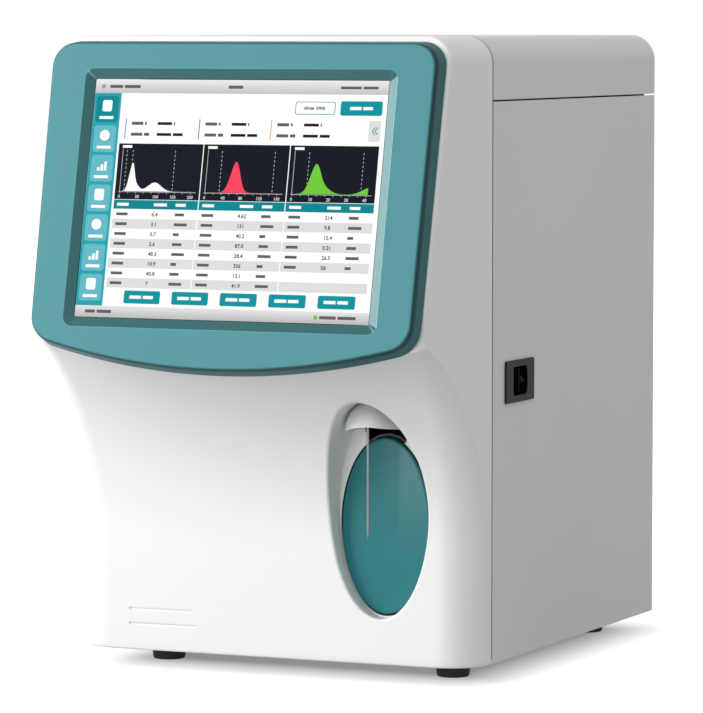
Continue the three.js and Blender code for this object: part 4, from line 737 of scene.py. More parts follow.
bay_columns = nearest_index(rings[len(levels) // 3][:, 0], PATCH_X)
bay_rows = nearest_index(levels, PATCH_Z)
edge = rectangle_edge(bay_rows, bay_columns)
loops = bay_loops(rings[edge[:, 0], edge[:, 1]])
print("bay", loops.shape, "in rows", bay_rows, "columns", bay_columns)

# %% [markdown]
# Rings, bay and top have to be one skin, because a seam between them would show in the highlight. So
# their points go into one list, the bay's first loop uses the grid's own points, and the top is a grid
# whose sides are the last ring's side points. Points that lie together are merged at the end.

# %% Mesh of the front cover
ROWS, COLUMNS = rings.shape[:2]
cells = quads(ROWS, COLUMNS)
row, column = cells[:, 0] // COLUMNS, cells[:, 0] % COLUMNS
cells = cells[~((row >= bay_rows[0]) & (row < bay_rows[1])
                & (column >= bay_columns[0]) & (column < bay_columns[1]))]

rim = rings[-1]
first, last = SIDE_STEPS - 1, COLUMNS - SIDE_STEPS
front_edge = rim[first:last + 1]
toward_seam = np.linspace(0, 1, SIDE_STEPS)[:, None]
spread = 1 + (rim[0, 0] / rim[first, 0] - 1) * toward_seam
top_face = np.stack([
    front_edge[None, :, 0] * spread,
    front_edge[None, :, 1] + (-GAP - front_edge[None, :, 1]) * toward_seam,
    np.full((SIDE_STEPS, len(front_edge)), rim[0, 2])], axis=-1)
top_face[:, 0], top_face[:, -1] = rim[first::-1], rim[last:]

bay_start, top_start = ROWS * COLUMNS, ROWS * COLUMNS + loops.shape[0] * loops.shape[1]
bay_numbers = np.concatenate([edge[:, 0] * COLUMNS + edge[:, 1], np.arange(bay_start, top_start)])
patch = bay_numbers[quads(loops.shape[0] + 1, len(edge), close_columns=True)]
points = np.concatenate([form.reshape(-1, 3) for form in (rings, loops, top_face)])
cells = facing(points, cells, (0, -FRONT_DEPTH, 30), (0, -1, 0))
patch = facing(points, patch, (BAY[0] - BAY_HALF[0] + 6, BAY_FLOOR_Y, BAY[1]), (0, -1, 0))
top_cells = facing(points, quads(*top_face.shape[:2]) + top_start, (0, -20, HEIGHT), (0, 0, 1))
skin = make_mesh("front_skin", points, np.concatenate([cells, patch, top_cells]))
tidy_mesh(skin, recalculate=False)
print("skin", len(skin.polygons), "faces")

# %% [markdown]
# The skin gets its wall by Solidify. The display's window, the throat behind the hood and the two short
# grooves at the lower left are plain cuts through flat places, so one boolean with four prisms makes them.

# %% Cuts in the front cover
def on_screen(u, v, n):
    """A point of the screen's plane: u to the right, v up the tilted glass, n out of it."""
    u, v, n = np.broadcast_arrays(*(np.asarray(value, float) for value in (u, v, n)))
    return np.stack([
        SCREEN[0] + u,
        SCREEN[1] + v * math.sin(TILT) - n * math.cos(TILT),
        SCREEN[2] + v * math.cos(TILT) + n * math.sin(TILT)], axis=-1)


COVER_WALL, GROOVE_HALF = 1.8, 1.0
WINDOW_CUT, THROAT_CUT, GROOVE_CUT = (-36.0, 2.0), (-0.6, 8), (-3, 1.0)
GLASS_HALF, WINDOW_CORNER = ACTIVE_HALF + 9.0, 1.6
window = rounded_loop(GLASS_HALF + GAP, WINDOW_CORNER)
throat = np.array([[60.5, 166.0], [67.3, 146.0], [93.7, 146.0], [100.5, 166.0]])
grooves = [((-104.0, -57.1), 27.9), ((-104.0, -52.0), 17.8)]
cutters = [tube([on_screen(*window.T, n) for n in WINDOW_CUT]),
           tube([at_depth(throat, BAY_FLOOR_Y + y) for y in THROAT_CUT])]
for (left, right), z in grooves:
    slot = rounded_loop(((right - left) / 2, GROOVE_HALF), 0.95, 5, (6, 1), ((left + right) / 2, z))
    cutters.append(tube([at_depth(slot, y - FRONT_DEPTH) for y in GROOVE_CUT]))
cutter = new_object("cutter", tidy_mesh(make_mesh("cutter", *joined(cutters))))
blank = new_object("blank", skin)
add_modifier(blank, "SOLIDIFY", thickness=COVER_WALL * MM, offset=-1)
add_modifier(blank, "BOOLEAN", operation="DIFFERENCE", solver="EXACT", object=cutter)
cover_mesh = set_smooth(baked(blank), 38)
cover_mesh.name = "front_cover_moulding"
for thing in (cutter, blank):
    bpy.data.objects.remove(thing)
add_piece("cover_front_moulding", cover_mesh, white_moulding, "cabinet", ["front_cover"])
print("front cover", len(cover_mesh.polygons), "faces")

# %% [markdown]
# The bezel is a second moulding that frames the display. A plain box with a bevel would show a kink where
# its corners meet the wide arc of the lower edge, so its outline is drawn from arcs that touch: each
# lower corner's centre lies r inside the arc and r inside the side.

# %% Outline of the bezel
BEZEL_HIGH_CORNER, BEZEL_LOW_CORNER, CORNER_ABOVE_EDGE = 17.0, 19.0, 20
BEZEL_ARC_STEPS, BEZEL_EDGE_STEPS = 14, (40, 30, 44, 30)


def bezel_outline(inset, top_inset):
    """The bezel's outline, drawn in on all sides: corners are arcs, the lower edge is a circle's arc."""
    slope = (BEZEL_UPPER_HALF - BEZEL_LOWER_HALF) / (BEZEL_TOP + BEZEL_BOTTOM)
    high, low = BEZEL_HIGH_CORNER - inset / 2, BEZEL_LOW_CORNER - inset / 2
    upper_x, upper_y = BEZEL_UPPER_HALF - inset - high, BEZEL_TOP - inset - top_inset - high
    centre = -BEZEL_BOTTOM + ARC_RADIUS
    lower_x = BEZEL_LOWER_HALF - inset - low + slope * CORNER_ABOVE_EDGE
    lower_y = centre - math.sqrt((ARC_RADIUS - inset - low) ** 2 - lower_x**2)
    end = math.atan2(lower_y - centre, lower_x)
    bends = [arc(*bend, BEZEL_ARC_STEPS) for bend in (
        ((upper_x, upper_y), high, 0, QUARTER), ((-upper_x, upper_y), high, QUARTER, math.pi),
        ((-lower_x, lower_y), low, math.pi, math.pi - end), ((lower_x, lower_y), low, end, 0))]
    across, down, along, up = BEZEL_EDGE_STEPS
    bottom = arc((0, centre), ARC_RADIUS - inset, -math.pi - end, end, along)[1:-1]
    return linked([*bends[:2], np.concatenate([bends[2], bottom, bends[3]])], (across, down, up))


def window_loop(half, radius):
    """A rounded window with the same count of points on each corner and edge as the outline."""
    return rounded_loop(half, radius, BEZEL_ARC_STEPS, BEZEL_EDGE_STEPS)


print("bezel outline", len(bezel_outline(0, 0)), "points")

# %% [markdown]
# From the back the loops climb the leaning wall, turn over a rounded edge, cross the face and step down the
# bevel to the glass.
# Each loop carries a tone that the material reads: painted shade makes the teal deeper on the wall, the
# edge and the bevel than on the face, and a painted highlight lightens the bevel's outer rim.

# %% Bezel
BEZEL_LEAN, BEZEL_TOP_LEAN, BEZEL_FILLET, WALL_START = 1.9, 1.2, 2.2, 0.6
BEVEL_WIDTH, BEVEL_CORNER, WINDOW_MARGIN, STEP_DEPTH = 6.6, 6.5, 0.5, -0.28
# Tones below one are painted shade; the rim's tone above one is a painted highlight.
WALL_PAINTED_SHADE, SHOULDER_PAINTED_SHADE, EDGE_PAINTED_SHADE, BEVEL_PAINTED_SHADE, RIM_PAINTED_HIGHLIGHT = 0.52, 0.2, 0.16, 0.42, 1.6


def add_painted_light(piece, values):
    """One number for each of the piece's points, which its material reads as painted light: painted shade
    below one, a painted highlight above.
    """
    layer = piece.data.attributes.new("tone", "FLOAT", "POINT")
    layer.data.foreach_set("value", np.asarray(values).ravel().astype(np.float32))


bezel_back = BEZEL_FACE - BEZEL_DEPTH
wall_foot, wall_top = bezel_back + WALL_START, BEZEL_FACE - BEZEL_FILLET
# The loops at the back and behind the window carry painted shade as well.
bezel_loops = [(bezel_outline(0.6, 0), bezel_back, 0.3), (bezel_outline(0.15, 0), bezel_back + 0.15, 0.5)]
for share, tone in ((0.0, WALL_PAINTED_SHADE), (0.78, WALL_PAINTED_SHADE), (0.84, SHOULDER_PAINTED_SHADE), (1.0, EDGE_PAINTED_SHADE)):
    bezel_loops.append((bezel_outline(BEZEL_LEAN * share, BEZEL_TOP_LEAN * share),
                        wall_foot + (wall_top - wall_foot) * share, tone))
for turn in np.linspace(0, QUARTER, 9)[1:]:
    bezel_loops.append((bezel_outline(BEZEL_LEAN + BEZEL_FILLET * (1 - math.cos(turn)), BEZEL_TOP_LEAN),
                        BEZEL_FACE - BEZEL_FILLET * (1 - math.sin(turn)),
                        EDGE_PAINTED_SHADE + (1 - EDGE_PAINTED_SHADE) * min(1, (turn / QUARTER * 1.2) ** 3)))
inner_half = ACTIVE_HALF + WINDOW_MARGIN
face_edge = bezel_loops[-1][0]
bevel_top = window_loop(inner_half + BEVEL_WIDTH, BEVEL_CORNER)
for share in (0.03, 0.35, 0.7, 0.995):
    bezel_loops.append((face_edge + (bevel_top - face_edge) * share, BEZEL_FACE, 1.0))
bevel_first = len(bezel_loops)
for share in (0.0, 0.07, 0.4, 0.8, 1.0):
    loop = window_loop(inner_half + BEVEL_WIDTH * (1 - share),
                       BEVEL_CORNER + (WINDOW_CORNER - BEVEL_CORNER) * share)
    bezel_loops.append((loop, BEZEL_FACE * (1 - share), BEVEL_PAINTED_SHADE if share else RIM_PAINTED_HIGHLIGHT))
behind = window_loop(GLASS_HALF + GAP, WINDOW_CORNER)
bezel_loops += [(window_loop(inner_half, WINDOW_CORNER), STEP_DEPTH, 0.3), (behind, STEP_DEPTH, 0.3),
                (behind, bezel_back, 0.5)]
bezel_points = np.array([on_screen(*loop.T, n) for loop, n, _ in bezel_loops])
bezel_faces = facing(bezel_points.reshape(-1, 3), quads(*bezel_points.shape[:2], True, True),
                     on_screen(0, BEZEL_TOP, BEZEL_FACE), on_screen(0, 0, 1) - SCREEN)
bezel = add_piece("bezel_moulding", make_mesh("bezel_moulding", bezel_points, bezel_faces, 14),
                  light_painted_moulding("bezel_satin", TEAL_FACE, 0.46, 0.12), "cabinet", ["screen_bezel"])
bezel.data.materials.append(light_painted_moulding("bezel_polished", TEAL_FACE, 0.1, 0.33, (0.62, 1, 1, 1)))
per_loop = bezel_points.shape[1]
add_painted_light(bezel, np.repeat([tone for _, _, tone in bezel_loops], per_loop))
on_bevel = np.arange(len(bezel_loops)) >= bevel_first
bezel.data.polygons.foreach_set("material_index", np.repeat(on_bevel, per_loop).astype(np.int32))
print("bezel", bezel_points.shape)

# %% [markdown]
# The glass lies under the bezel's window, so only its polished front is seen. It is one slab with
# rounded edges: a stack of five loops.

# %% Touch glass
GLASS_CORNER = 1.4
glass_profile = [(0.4, -1.8), (0.0, -1.4), (0.0, -0.7), (0.12, -0.41), (0.4, -0.3)]
glass_rows = [on_screen(*rounded_loop(GLASS_HALF - inset, GLASS_CORNER, 6, (6, 6)).T, n)
              for inset, n in glass_profile]
cover_glass = Finish("cover_glass", colour(20, 24, 27), 0.08)
smears = cover_glass.noise(0.02, 3.0)
cover_glass.set("Base Color", cover_glass.tint(smears, colour(16, 20, 23), colour(22, 27, 31)))
cover_glass.set("Roughness", smears * 0.06 + 0.05)
add_piece("glass_sheet", make_mesh("glass_sheet", *tube(glass_rows)), cover_glass.material, "cabinet",
          ["touch_glass"])
print("glass", (2 * GLASS_HALF).round(1), "mm")

# %% [markdown]
# The display is a lit panel behind the glass. An image would need a file, so its picture is a thin stack
# of flat coloured shapes on the glass, each a hair above the one below it. The layout is a plain results
# page with greeked bars where words would be, drawn afresh.

# %% Tools that draw on the display
PAGE_BACK, PAGE_STEP = -0.28, 0.03


def from_middle(place):
    """Fractions of the display, from its left and top, as millimetres from its middle."""
    return (np.asarray(place, float) * 2 - 1) * ACTIVE_HALF * (1, -1)


class Picture:
    """Flat shapes on the display, whose places are fractions from its left and top."""

    def __init__(self):
        self.points, self.faces, self.colours, self.level = [], [], [], PAGE_BACK

    def lift(self):
        """Draws what follows on top of what was drawn before."""
        self.level += PAGE_STEP

    def add(self, flat, faces, paint):
        """Faces on flat points, in millimetres from the middle."""
        start = len(self.points)
        self.points += on_screen(*flat.T, self.level).tolist()
        self.faces += [[start + corner for corner in face] for face in faces]
        self.colours += [paint] * len(faces)

    def polygon(self, outline, paint):
        flat = from_middle(outline)
        following = np.roll(flat, -1, axis=0)
        if np.sum(flat[:, 0] * following[:, 1] - flat[:, 1] * following[:, 0]) < 0:
            flat = flat[::-1]
        self.add(flat, [range(len(flat))], paint)

    def bar(self, left, top, right, bottom, paint, radius=0.0):
        """A rectangle, its corners rounded by a radius in millimetres."""
        outline = [(left, top), (right, top), (right, bottom), (left, bottom)]
        if radius:
            half = ((right - left) * ACTIVE_HALF[0], (bottom - top) * ACTIVE_HALF[1])
            middle = np.array([(left + right) / 2, (top + bottom) / 2])
            outline = middle + rounded_loop(half, radius, 4, (1, 1)) / (2 * ACTIVE_HALF)
        self.polygon(outline, paint)

    def words(self, left, middle, widths, high, paint):
        """Greeked words: short bars in a row."""
        for width in widths:
            self.bar(left, middle - high / 2, left + width, middle + high / 2, paint)
            left += width + 0.006

    def disc(self, u, v, radius, paint):
        """A round spot, its radius in millimetres."""
        self.polygon(np.array([u, v]) + oval(0, radius, full_turn(24)) / (2 * ACTIVE_HALF), paint)

    def stroke(self, line, wide, paint):
        """A drawn line, as quads so wide in millimetres."""
        line, scale = np.array(line), 2 * ACTIVE_HALF
        for start, stop in zip(line[:-1], line[1:]):
            along = (stop - start) * scale
            across = np.array([-along[1], along[0]]) / np.hypot(*along) * wide / 2 / scale
            self.polygon([start - across, stop - across, stop + across, start + across], paint)


TEAL, DEEP_TEAL, SIDE, SIDE_BUTTON = (7, 140, 150), (4, 128, 138), (34, 156, 166), (96, 176, 188)
PALE, ROW_GREY, INK, SLATE = (243, 244, 243), (210, 212, 212), (88, 92, 96), (17, 21, 31)
LINE_GREY, SPOT_GREY, NUMBER_INK = (186, 192, 196), (150, 156, 158), (60, 64, 68)
RED, GREEN, BLUE, TAN = (250, 66, 90), (108, 192, 56), (92, 128, 214), (214, 164, 96)
HEAD, FOOT, TABLE, ROW = 0.058, 0.952, 0.545, 0.04125
LEFT, RIGHT = 0.10, 0.985
side_tops = 0.070 + 0.125 * np.arange(7)
button_lefts = 0.165 + 0.165 * np.arange(5)
charts = [(LEFT, 0.392), (0.395, 0.687), (0.690, RIGHT)]
groups = [left for left, _ in charts]
picture = Picture()
print("display", (2 * ACTIVE_HALF).round(1), "mm")

# %% [markdown]
# The page is drawn from the back to the front: first its ground, then bars and buttons, then what lies on
# them. Marks that repeat come from loops, as a programmer would lay out the real page.

# %% Ground, bars and buttons
picture.bar(0, 0, 1, 1, PALE)
picture.lift()
for step in range(8):
    tone = 224 - 5 * step
    picture.bar(0, HEAD * step / 8, 1, HEAD * (step + 1) / 8, (tone, tone - 1, tone))
    picture.bar(0, FOOT + 0.006 * step, 1, FOOT + 0.006 * (step + 1), (tone - 8, tone - 9, tone - 8))
picture.bar(0, HEAD, 0.093, FOOT, SIDE)
picture.bar(LEFT, 0.507, RIGHT, TABLE, DEEP_TEAL)
for index in range(1, 8, 2):
    picture.bar(LEFT, TABLE + ROW * index, RIGHT, TABLE + ROW * (index + 1), ROW_GREY)
picture.lift()
for left, middle, widths, high in (
        (0.05, 0.03, (0.045, 0.055), 0.013), (0.46, 0.03, (0.05,), 0.013),
        (0.84, 0.03, (0.07, 0.05), 0.011), (0.035, 0.976, (0.035, 0.05), 0.013),
        (0.835, 0.976, (0.055, 0.06), 0.013)):
    picture.words(left, middle, widths, high, INK)
picture.disc(0.028, 0.03, 1.6, SPOT_GREY)
picture.disc(0.822, 0.976, 1.5, GREEN)
for top in side_tops:
    picture.bar(0.008, top, 0.085, top + 0.112, DEEP_TEAL if top == side_tops[0] else SIDE_BUTTON, 2.0)
for left, paint in ((0.115, BLUE), (0.37, TEAL), (0.615, TAN)):
    picture.bar(left, 0.165, left + 0.0035, 0.25, paint)
    for index in (0, 1):
        middle = 0.185 + 0.046 * index
        picture.words(left + 0.022, middle, (0.04, 0.012 * index + 0.006), 0.013, INK)
        picture.words(left + 0.112, middle, (0.05, 0.03 * index + 0.004), 0.012, SLATE)
for box in ((0.693, 0.088, 0.828, 0.142, TEAL, 1.5), (0.845, 0.085, RIGHT, 0.145, TEAL, 1.5),
            (0.945, 0.165, RIGHT, 0.252, ROW_GREY, 1.2)):
    picture.bar(*box)
for left, right in charts:
    picture.bar(left, 0.27, right, 0.505, SLATE)
for left in button_lefts:
    picture.bar(left, 0.886, left + 0.125, 0.940, TEAL, 1.2)
print("page", len(picture.faces), "shapes")

# %% [markdown]
# On the buttons lie their icons and greeked words, and over the table lie its headings and rows.

# %% Marks on the bars and buttons
picture.lift()
picture.bar(0.6955, 0.0912, 0.8255, 0.1388, PALE, 1.2)
for index, top in enumerate(side_tops):
    picture.words(0.022, top + 0.092, (0.049,), 0.012, PALE)
    if index % 3 == 0:
        picture.bar(0.030, top + 0.018, 0.063, top + 0.066, PALE, 1.2)
    elif index % 3 == 1:
        picture.disc(0.0465, top + 0.042, 3.6, PALE)
    else:
        for step in 0.012 * np.arange(3):
            picture.bar(0.030 + step, top + 0.052 - step, 0.039 + step, top + 0.066, PALE)
for left in button_lefts:
    picture.words(left + 0.02, 0.913, (0.04, 0.035), 0.013, PALE)
picture.words(0.722, 0.115, (0.035, 0.03), 0.013, INK)
picture.words(0.877, 0.115, (0.038, 0.032), 0.013, PALE)
for tip in (0.958, 0.967):
    picture.stroke([(tip + 0.0085, 0.192), (tip, 0.208), (tip + 0.0085, 0.224)], 0.6, DEEP_TEAL)
for left in groups:
    for place, wide in ((0.012, 0.04), (0.14, 0.045), (0.215, 0.035)):
        picture.words(left + place, 0.526, (wide,), 0.012, PALE)
    for index in range(8 if left != groups[2] else 6):
        middle, turn = 0.5665 + ROW * index, round(left * 10)
        picture.words(left + 0.012, middle, (0.028 + 0.012 * ((index * 3 + turn) % 3),), 0.012, INK)
        picture.words(left + 0.215, middle, (0.02 + 0.012 * ((index + turn) % 3),), 0.012, INK)
for left in groups[1:]:
    picture.bar(left - 0.0035, 0.507, left - 0.0005, 0.875, PALE)
print("with marks", len(picture.faces), "shapes")

# %% [markdown]
# A blood counter shows its counts as histograms: how many cells there are of each size. Each curve here
# is a sum of bells, each bell with a middle, a width and a height, over a scale with ticks and dashed
# limits.

# %% Curves on the charts
CHART_BASE, CHART_HIGH, CHART_MARGIN, THIN = 0.470, 0.185, 0.018, 0.35
curves = [(PALE, [(0.14, 0.045, 0.62), (0.21, 0.06, 0.14), (0.46, 0.12, 0.2)], (0.05, 0.13, 0.70)),
          (RED, [(0.38, 0.085, 0.70)], (0.18, 0.88)),
          (GREEN, [(0.28, 0.09, 0.62), (0.40, 0.12, 0.14), (1.0, 0.14, 0.16)], (0.18, 0.88))]
t = np.linspace(0.03, 0.97, 48)
for (left, right), (paint, bells, marks) in zip(charts, curves):
    start, wide, axis = left + CHART_MARGIN, right - left - 0.035, CHART_BASE + 0.003
    level = sum(high * np.exp(-((t - middle) / width) ** 2) for middle, width, high in bells)
    place, tops = start + wide * t, CHART_BASE - CHART_HIGH * level
    for i in range(len(t) - 1):
        picture.polygon([(place[i], CHART_BASE), (place[i + 1], CHART_BASE), (place[i + 1], tops[i + 1]),
                         (place[i], tops[i] - 0.0005)], paint)
    picture.stroke([(left + 0.012, axis), (right - 0.012, axis)], THIN, LINE_GREY)
    picture.stroke([(left + 0.016, axis), (left + 0.016, 0.292)], THIN, LINE_GREY)
    picture.words(left + 0.014, 0.283, (0.032,), 0.011, PALE)
    for mark in start + wide * np.array(marks):
        for top in 0.298 + 0.0175 * np.arange(10):
            picture.stroke([(mark, top), (mark, top + 0.009)], THIN, LINE_GREY)
    for spot in start + wide * np.arange(10) / 9.5:
        picture.stroke([(spot, axis), (spot, CHART_BASE + 0.010)], 0.3, LINE_GREY)
print("with curves", len(picture.faces), "shapes")

# %% [markdown]
# The results are numbers. Blender's own text makes them: each is turned into flat faces, which are laid
# on the page, and the text itself is thrown away.

# %% Numbers on the display
def screen_numbers(texts, size_mm, paint):
    """Plain numbers, turned from text into flat faces and laid into the picture."""
    for text, u, v in texts:
        curve = bpy.data.curves.new("number", "FONT")
        curve.body, curve.size, curve.resolution_u, curve.offset = text, size_mm, 2, 0.09
        holder = new_object("number", curve)
        mesh = baked(holder)
        flat = np.array([vertex.co[:2] for vertex in mesh.vertices])
        picture.add(from_middle((u, v)) + flat, [face.vertices for face in mesh.polygons], paint)
        bpy.data.objects.remove(holder)
        bpy.data.curves.remove(curve)
        bpy.data.meshes.remove(mesh)


scale_numbers = [(str(unit * tick), left + 0.012 + (right - left - 0.035) * tick / 4.3, 0.499)
                 for (left, right), unit in zip(charts, (50, 40, 10)) for tick in range(5)]
screen_numbers(scale_numbers, 2.9, LINE_GREY)
results = ("6.4 3.1 0.7 2.6 48.3 10.9 40.8 7", "4.62 131 40.2 87.0 28.4 326 13.1 41.9",
           "214 9.8 12.4 0.21 26.5 58")
screen_numbers([(value, left + 0.135, 0.5745 + ROW * index) for left, column in zip(groups, results)
                for index, value in enumerate(column.split())], 3.6, NUMBER_INK)
print("with numbers", len(picture.faces), "shapes")

# %% [markdown]
# The panel glows, so its picture goes into the emission. Each face's colour is kept on its corners, which
# takes no image, and a faint haze over the panel keeps the white from looking like paper.

# %% Lit panel
display_mesh = make_mesh("display_picture", picture.points, picture.faces)
paints = display_mesh.color_attributes.new("paint", "FLOAT_COLOR", "CORNER")
corner_colours = np.repeat([colour(*paint) for paint in picture.colours],
                           [len(face) for face in picture.faces], axis=0)
paints.data.foreach_set("color", corner_colours.ravel().astype(np.float32))
BLACK = (0, 0, 0, 1)
lit_panel = Finish("lit_panel", BLACK, 0.35, Specular_IOR_Level=0.03, Emission_Strength=1.08)
pixels, haze = lit_panel.attribute("paint", "Color"), lit_panel.noise(0.015, 2.0)
lit_panel.set("Base Color", lit_panel.tint(0.05, BLACK, pixels))
lit_panel.set("Emission Color", lit_panel.scaled(pixels, haze * 0.06 + 0.97))
lit_panel.set("Roughness", haze * 0.08 + 0.3)
add_piece("display_picture", display_mesh, lit_panel.material, "cabinet", slot="touch_glass")
print("display", len(display_mesh.polygons), "faces")

# %% [markdown]
# The key that starts aspiration is a gently crowned oval, moulded glossy and pressed into the bay's floor.
# Rings from its skirt over a rounded edge to the crown give it the soft sheen that a flat oval lacks.

# %% Aspirate key
KEY_PROUD, KEY_CROWN, KEY_THICKNESS, KEY_EDGE, KEY_FOOT = 1.5, 2.5, 5.0, 1.6, 0.5
key_angle = full_turn(128)
key_rim_y = BAY_FLOOR_Y - KEY_PROUD
key_profile = [(KEY_HALF - KEY_FOOT, KEY_THICKNESS), (KEY_HALF, KEY_THICKNESS - KEY_FOOT)]
key_profile += [(KEY_HALF - KEY_EDGE * (1 - math.cos(turn)), KEY_EDGE * (1 - math.sin(turn)))
                for turn in np.linspace(0, QUARTER, 7)]
key_profile += [((KEY_HALF - KEY_EDGE) * share, -KEY_CROWN * (1 - share**2))
                for share in np.linspace(1, 0.02, 18)[1:]]
key_rows = [at_depth(oval(KEY, half, key_angle), key_rim_y + y) for half, y in key_profile]
add_piece("aspirate_key_cap", make_mesh("aspirate_key_cap", *tube(key_rows)), teal_gloss, "key",
          ["aspirate_key"])
print("key rings", len(key_rows))

# %% [markdown]
# The hood over the needle is a thin cowl that grows out of the bay's roof: it leaves the roof level, rounds
# over and ends upright at a wavy rim, and its right side sweeps back to the bay's floor. Each upright line
# of it is a quarter of an ellipse from a point on the roof to a point on the rim, and it never rises
# through the roof. It lies in the neck's shade, and that shade is painted into its white: greyer toward the
# roof and the right.

# %% Probe hood
HOOD_X, HOOD_Y, HOOD_LEFT, HOOD_RIGHT, HOOD_REACH, HOOD_RIM_Z = 83.0, -38.0, 22.5, 21.0, 15.5, 156.0
HOOD_REAR, HOOD_WALL, SIDE_POINTS = BAY_FLOOR_Y - GAP, 1.5, 12
RIM_TURNS, RIM_HEIGHTS = np.radians([0, 25, 60, 90, 135, 180]), [-1.6, -0.9, 1.6, 2.9, 1.2, 0.6]
ROOF_SHARE, ROOF_MARGIN, ROOF_SHADE, RIGHT_SHADE = (0.86, 0.74), 0.08, 0.42, 0.34


def bay_roof(x, y):
    """Height of the bay's roof over a place: the oval there, which narrows toward the floor."""
    deep = np.clip((y - LIP_FOOT) / (BAY_FLOOR_Y - LIP_FOOT), 0, 1)
    half_x, half_z = (BAY_HALF[i] - BAY_NARROWING[i] * deep for i in (0, 1))
    across = np.clip((x - BAY[0]) / half_x, -1, 1)
    return BAY[1] - BAY_DROP * deep + half_z * np.sqrt(1 - across**2)


nose_turn = np.linspace(0, math.pi, 61)
to_left = np.cos(nose_turn) > 0
nose = np.stack([HOOD_X - np.where(to_left, HOOD_LEFT, HOOD_RIGHT) * np.cos(nose_turn),
                 np.where(to_left, HOOD_Y - HOOD_REACH * np.sin(nose_turn),
                          HOOD_REAR - (HOOD_REACH + HOOD_REAR - HOOD_Y) * np.sin(nose_turn))], axis=1)
side_run = np.linspace(HOOD_REAR, HOOD_Y, SIDE_POINTS + 1)[:-1]
rim_place = np.concatenate([np.stack([np.full(SIDE_POINTS, nose[0, 0]), side_run], axis=1), nose])
along = np.concatenate([np.zeros(SIDE_POINTS), nose_turn])
rim_z = HOOD_RIM_Z + np.interp(along, RIM_TURNS, RIM_HEIGHTS)
hood_root = np.array([HOOD_X, HOOD_REAR])
roof_place = hood_root + (rim_place - hood_root) * ROOF_SHARE
rightward = np.clip((rim_place[:, 0] - HOOD_X + HOOD_LEFT) / (HOOD_LEFT + HOOD_RIGHT), 0, 1)
hood_rows, hood_painted_shade = [], []
# Each row's tone is painted shade, greyer toward the roof and toward the right.
for turn in np.linspace(0, QUARTER, 15):
    hood_painted_shade.append(1 - ROOF_SHADE * math.cos(turn) - RIGHT_SHADE * rightward)
    place = roof_place + (rim_place - roof_place) * math.sin(turn)
    z = rim_z + (bay_roof(*roof_place.T) - rim_z) * math.cos(turn)
    hood_rows.append(np.column_stack([place, np.minimum(z, bay_roof(*place.T) - ROOF_MARGIN)]))
hood_points = np.array(hood_rows)
hood_faces = facing(hood_points.reshape(-1, 3), quads(*hood_points.shape[:2]),
                    (HOOD_X, HOOD_Y - HOOD_REACH, 160), (0, -1, 0))
hood = add_piece("hood_cowl", make_mesh("hood_cowl", hood_points, hood_faces, 60),
                 light_painted_moulding("hood_white_painted_shade", WHITE, 0.42, 0.35), "cabinet", ["probe_hood"])
add_painted_light(hood, hood_painted_shade)
add_modifier(hood, "SOLIDIFY", thickness=HOOD_WALL * MM, offset=-1)
add_bevel(hood, 0.35, 2, 50)
print("hood", hood_points.shape)

# %% [markdown]
# Many parts are right as the model has them, except that their edges are knife sharp. A real sheet edge
# or moulding is rounded by a few tenths of a millimetre, which is what makes it catch the light. One
# function copies such a part, merges its doubled points, joins the flat faces and bevels what is left.

# %% Parts with rounded edges
def body_of(node):
    """Name of the body that a node of the model rides on."""
    return next(name for name, body in frame["bodies"].items() if nodes[node].parent == body)


def rounded_copy(node, finish, width):
    """A copy of a node with rounded edges, which stands for it."""
    mesh = nodes[node].data.copy()
    mesh.name = node + "_rounded"
    set_smooth(tidy_mesh(mesh, 0.005, 1.0))
    add_bevel(add_piece(node + "_rounded", mesh, finish, body_of(node), [node]), width)


# The latch slider takes the recess's near-black, partly its own dark plastic and partly painted shade.
rounded = {
    "right_door": (panel_paint, 0.12), "left_panel": (panel_paint, 0.12), "rear_panel": (panel_paint, 0.3),
    "latch_slider": (black_and_painted_shade, 0.25), "fan_frame": (dark_moulding, 0.4),
    "mains_inlet": (dark_moulding, 0.4), "power_rocker": (dark_moulding, 0.5), "port_plate": (zinc, 0.3),
    "lower_hinge_bracket": (zinc, 0.15), "upper_hinge_bracket": (zinc, 0.15),
    "lift_frame": (milled_aluminium, 0.25), "probe_carriage": (black_anodised, 0.3),
    "lift_motor": (black_anodised, 0.5), "syringe_frame": (milled_aluminium, 0.25),
    "syringe_crosshead": (milled_aluminium, 0.4), "power_supply": (zinc, 0.3),
    "vacuum_chamber": (resin, 0.6), "valve_row": (dark_moulding, 0.3), "bath_shelf": (zinc, 0.2),
    "partition": (zinc, 0.2), "base_plate": (zinc, 0.2), "key_switch_cup": (dark_moulding, 0.25),
    "waste_pump_housing": (dark_moulding, 0.4), "probe_wipe": (resin, 0.4),
}
for node, (finish, width) in rounded.items():
    rounded_copy(node, finish, width)
print(len(rounded), "parts rounded")

# %% [markdown]
# The latch is a dark moulded collar round a finger recess, whose rear edge bulges to follow the finger.
# It is one run of loops: up the box that sits in the door, out behind the collar, over it, in at the
# opening and down to the recess's floor. The recess's faces take a near-black plastic as painted shade,
# because no light finds it.

# %% Latch frame
LATCH_MIDDLE = np.array([45.2, 184.6])
LATCH_HALF, BOX_HALF, LATCH_PROUD, BOX_DEPTH, POCKET_DEPTH = (24.5, 14.0), (21.4, 10.9), 1.6, 15.0, 11.0


def latch_loop(half, radius, bulge=0.0, middle=(0.0, 0.0)):
    """A rounded rectangle in the door's plane; its rear side bulges by a parabola over its height."""
    loop = rounded_loop(half, radius, 6, (10, 14), middle)
    rear = (loop[:, 0] > middle[0]) * np.clip(1 - (loop[:, 1] / half[1]) ** 2, 0, 1)
    return LATCH_MIDDLE + loop + np.stack([rear * bulge, 0 * rear], axis=1)


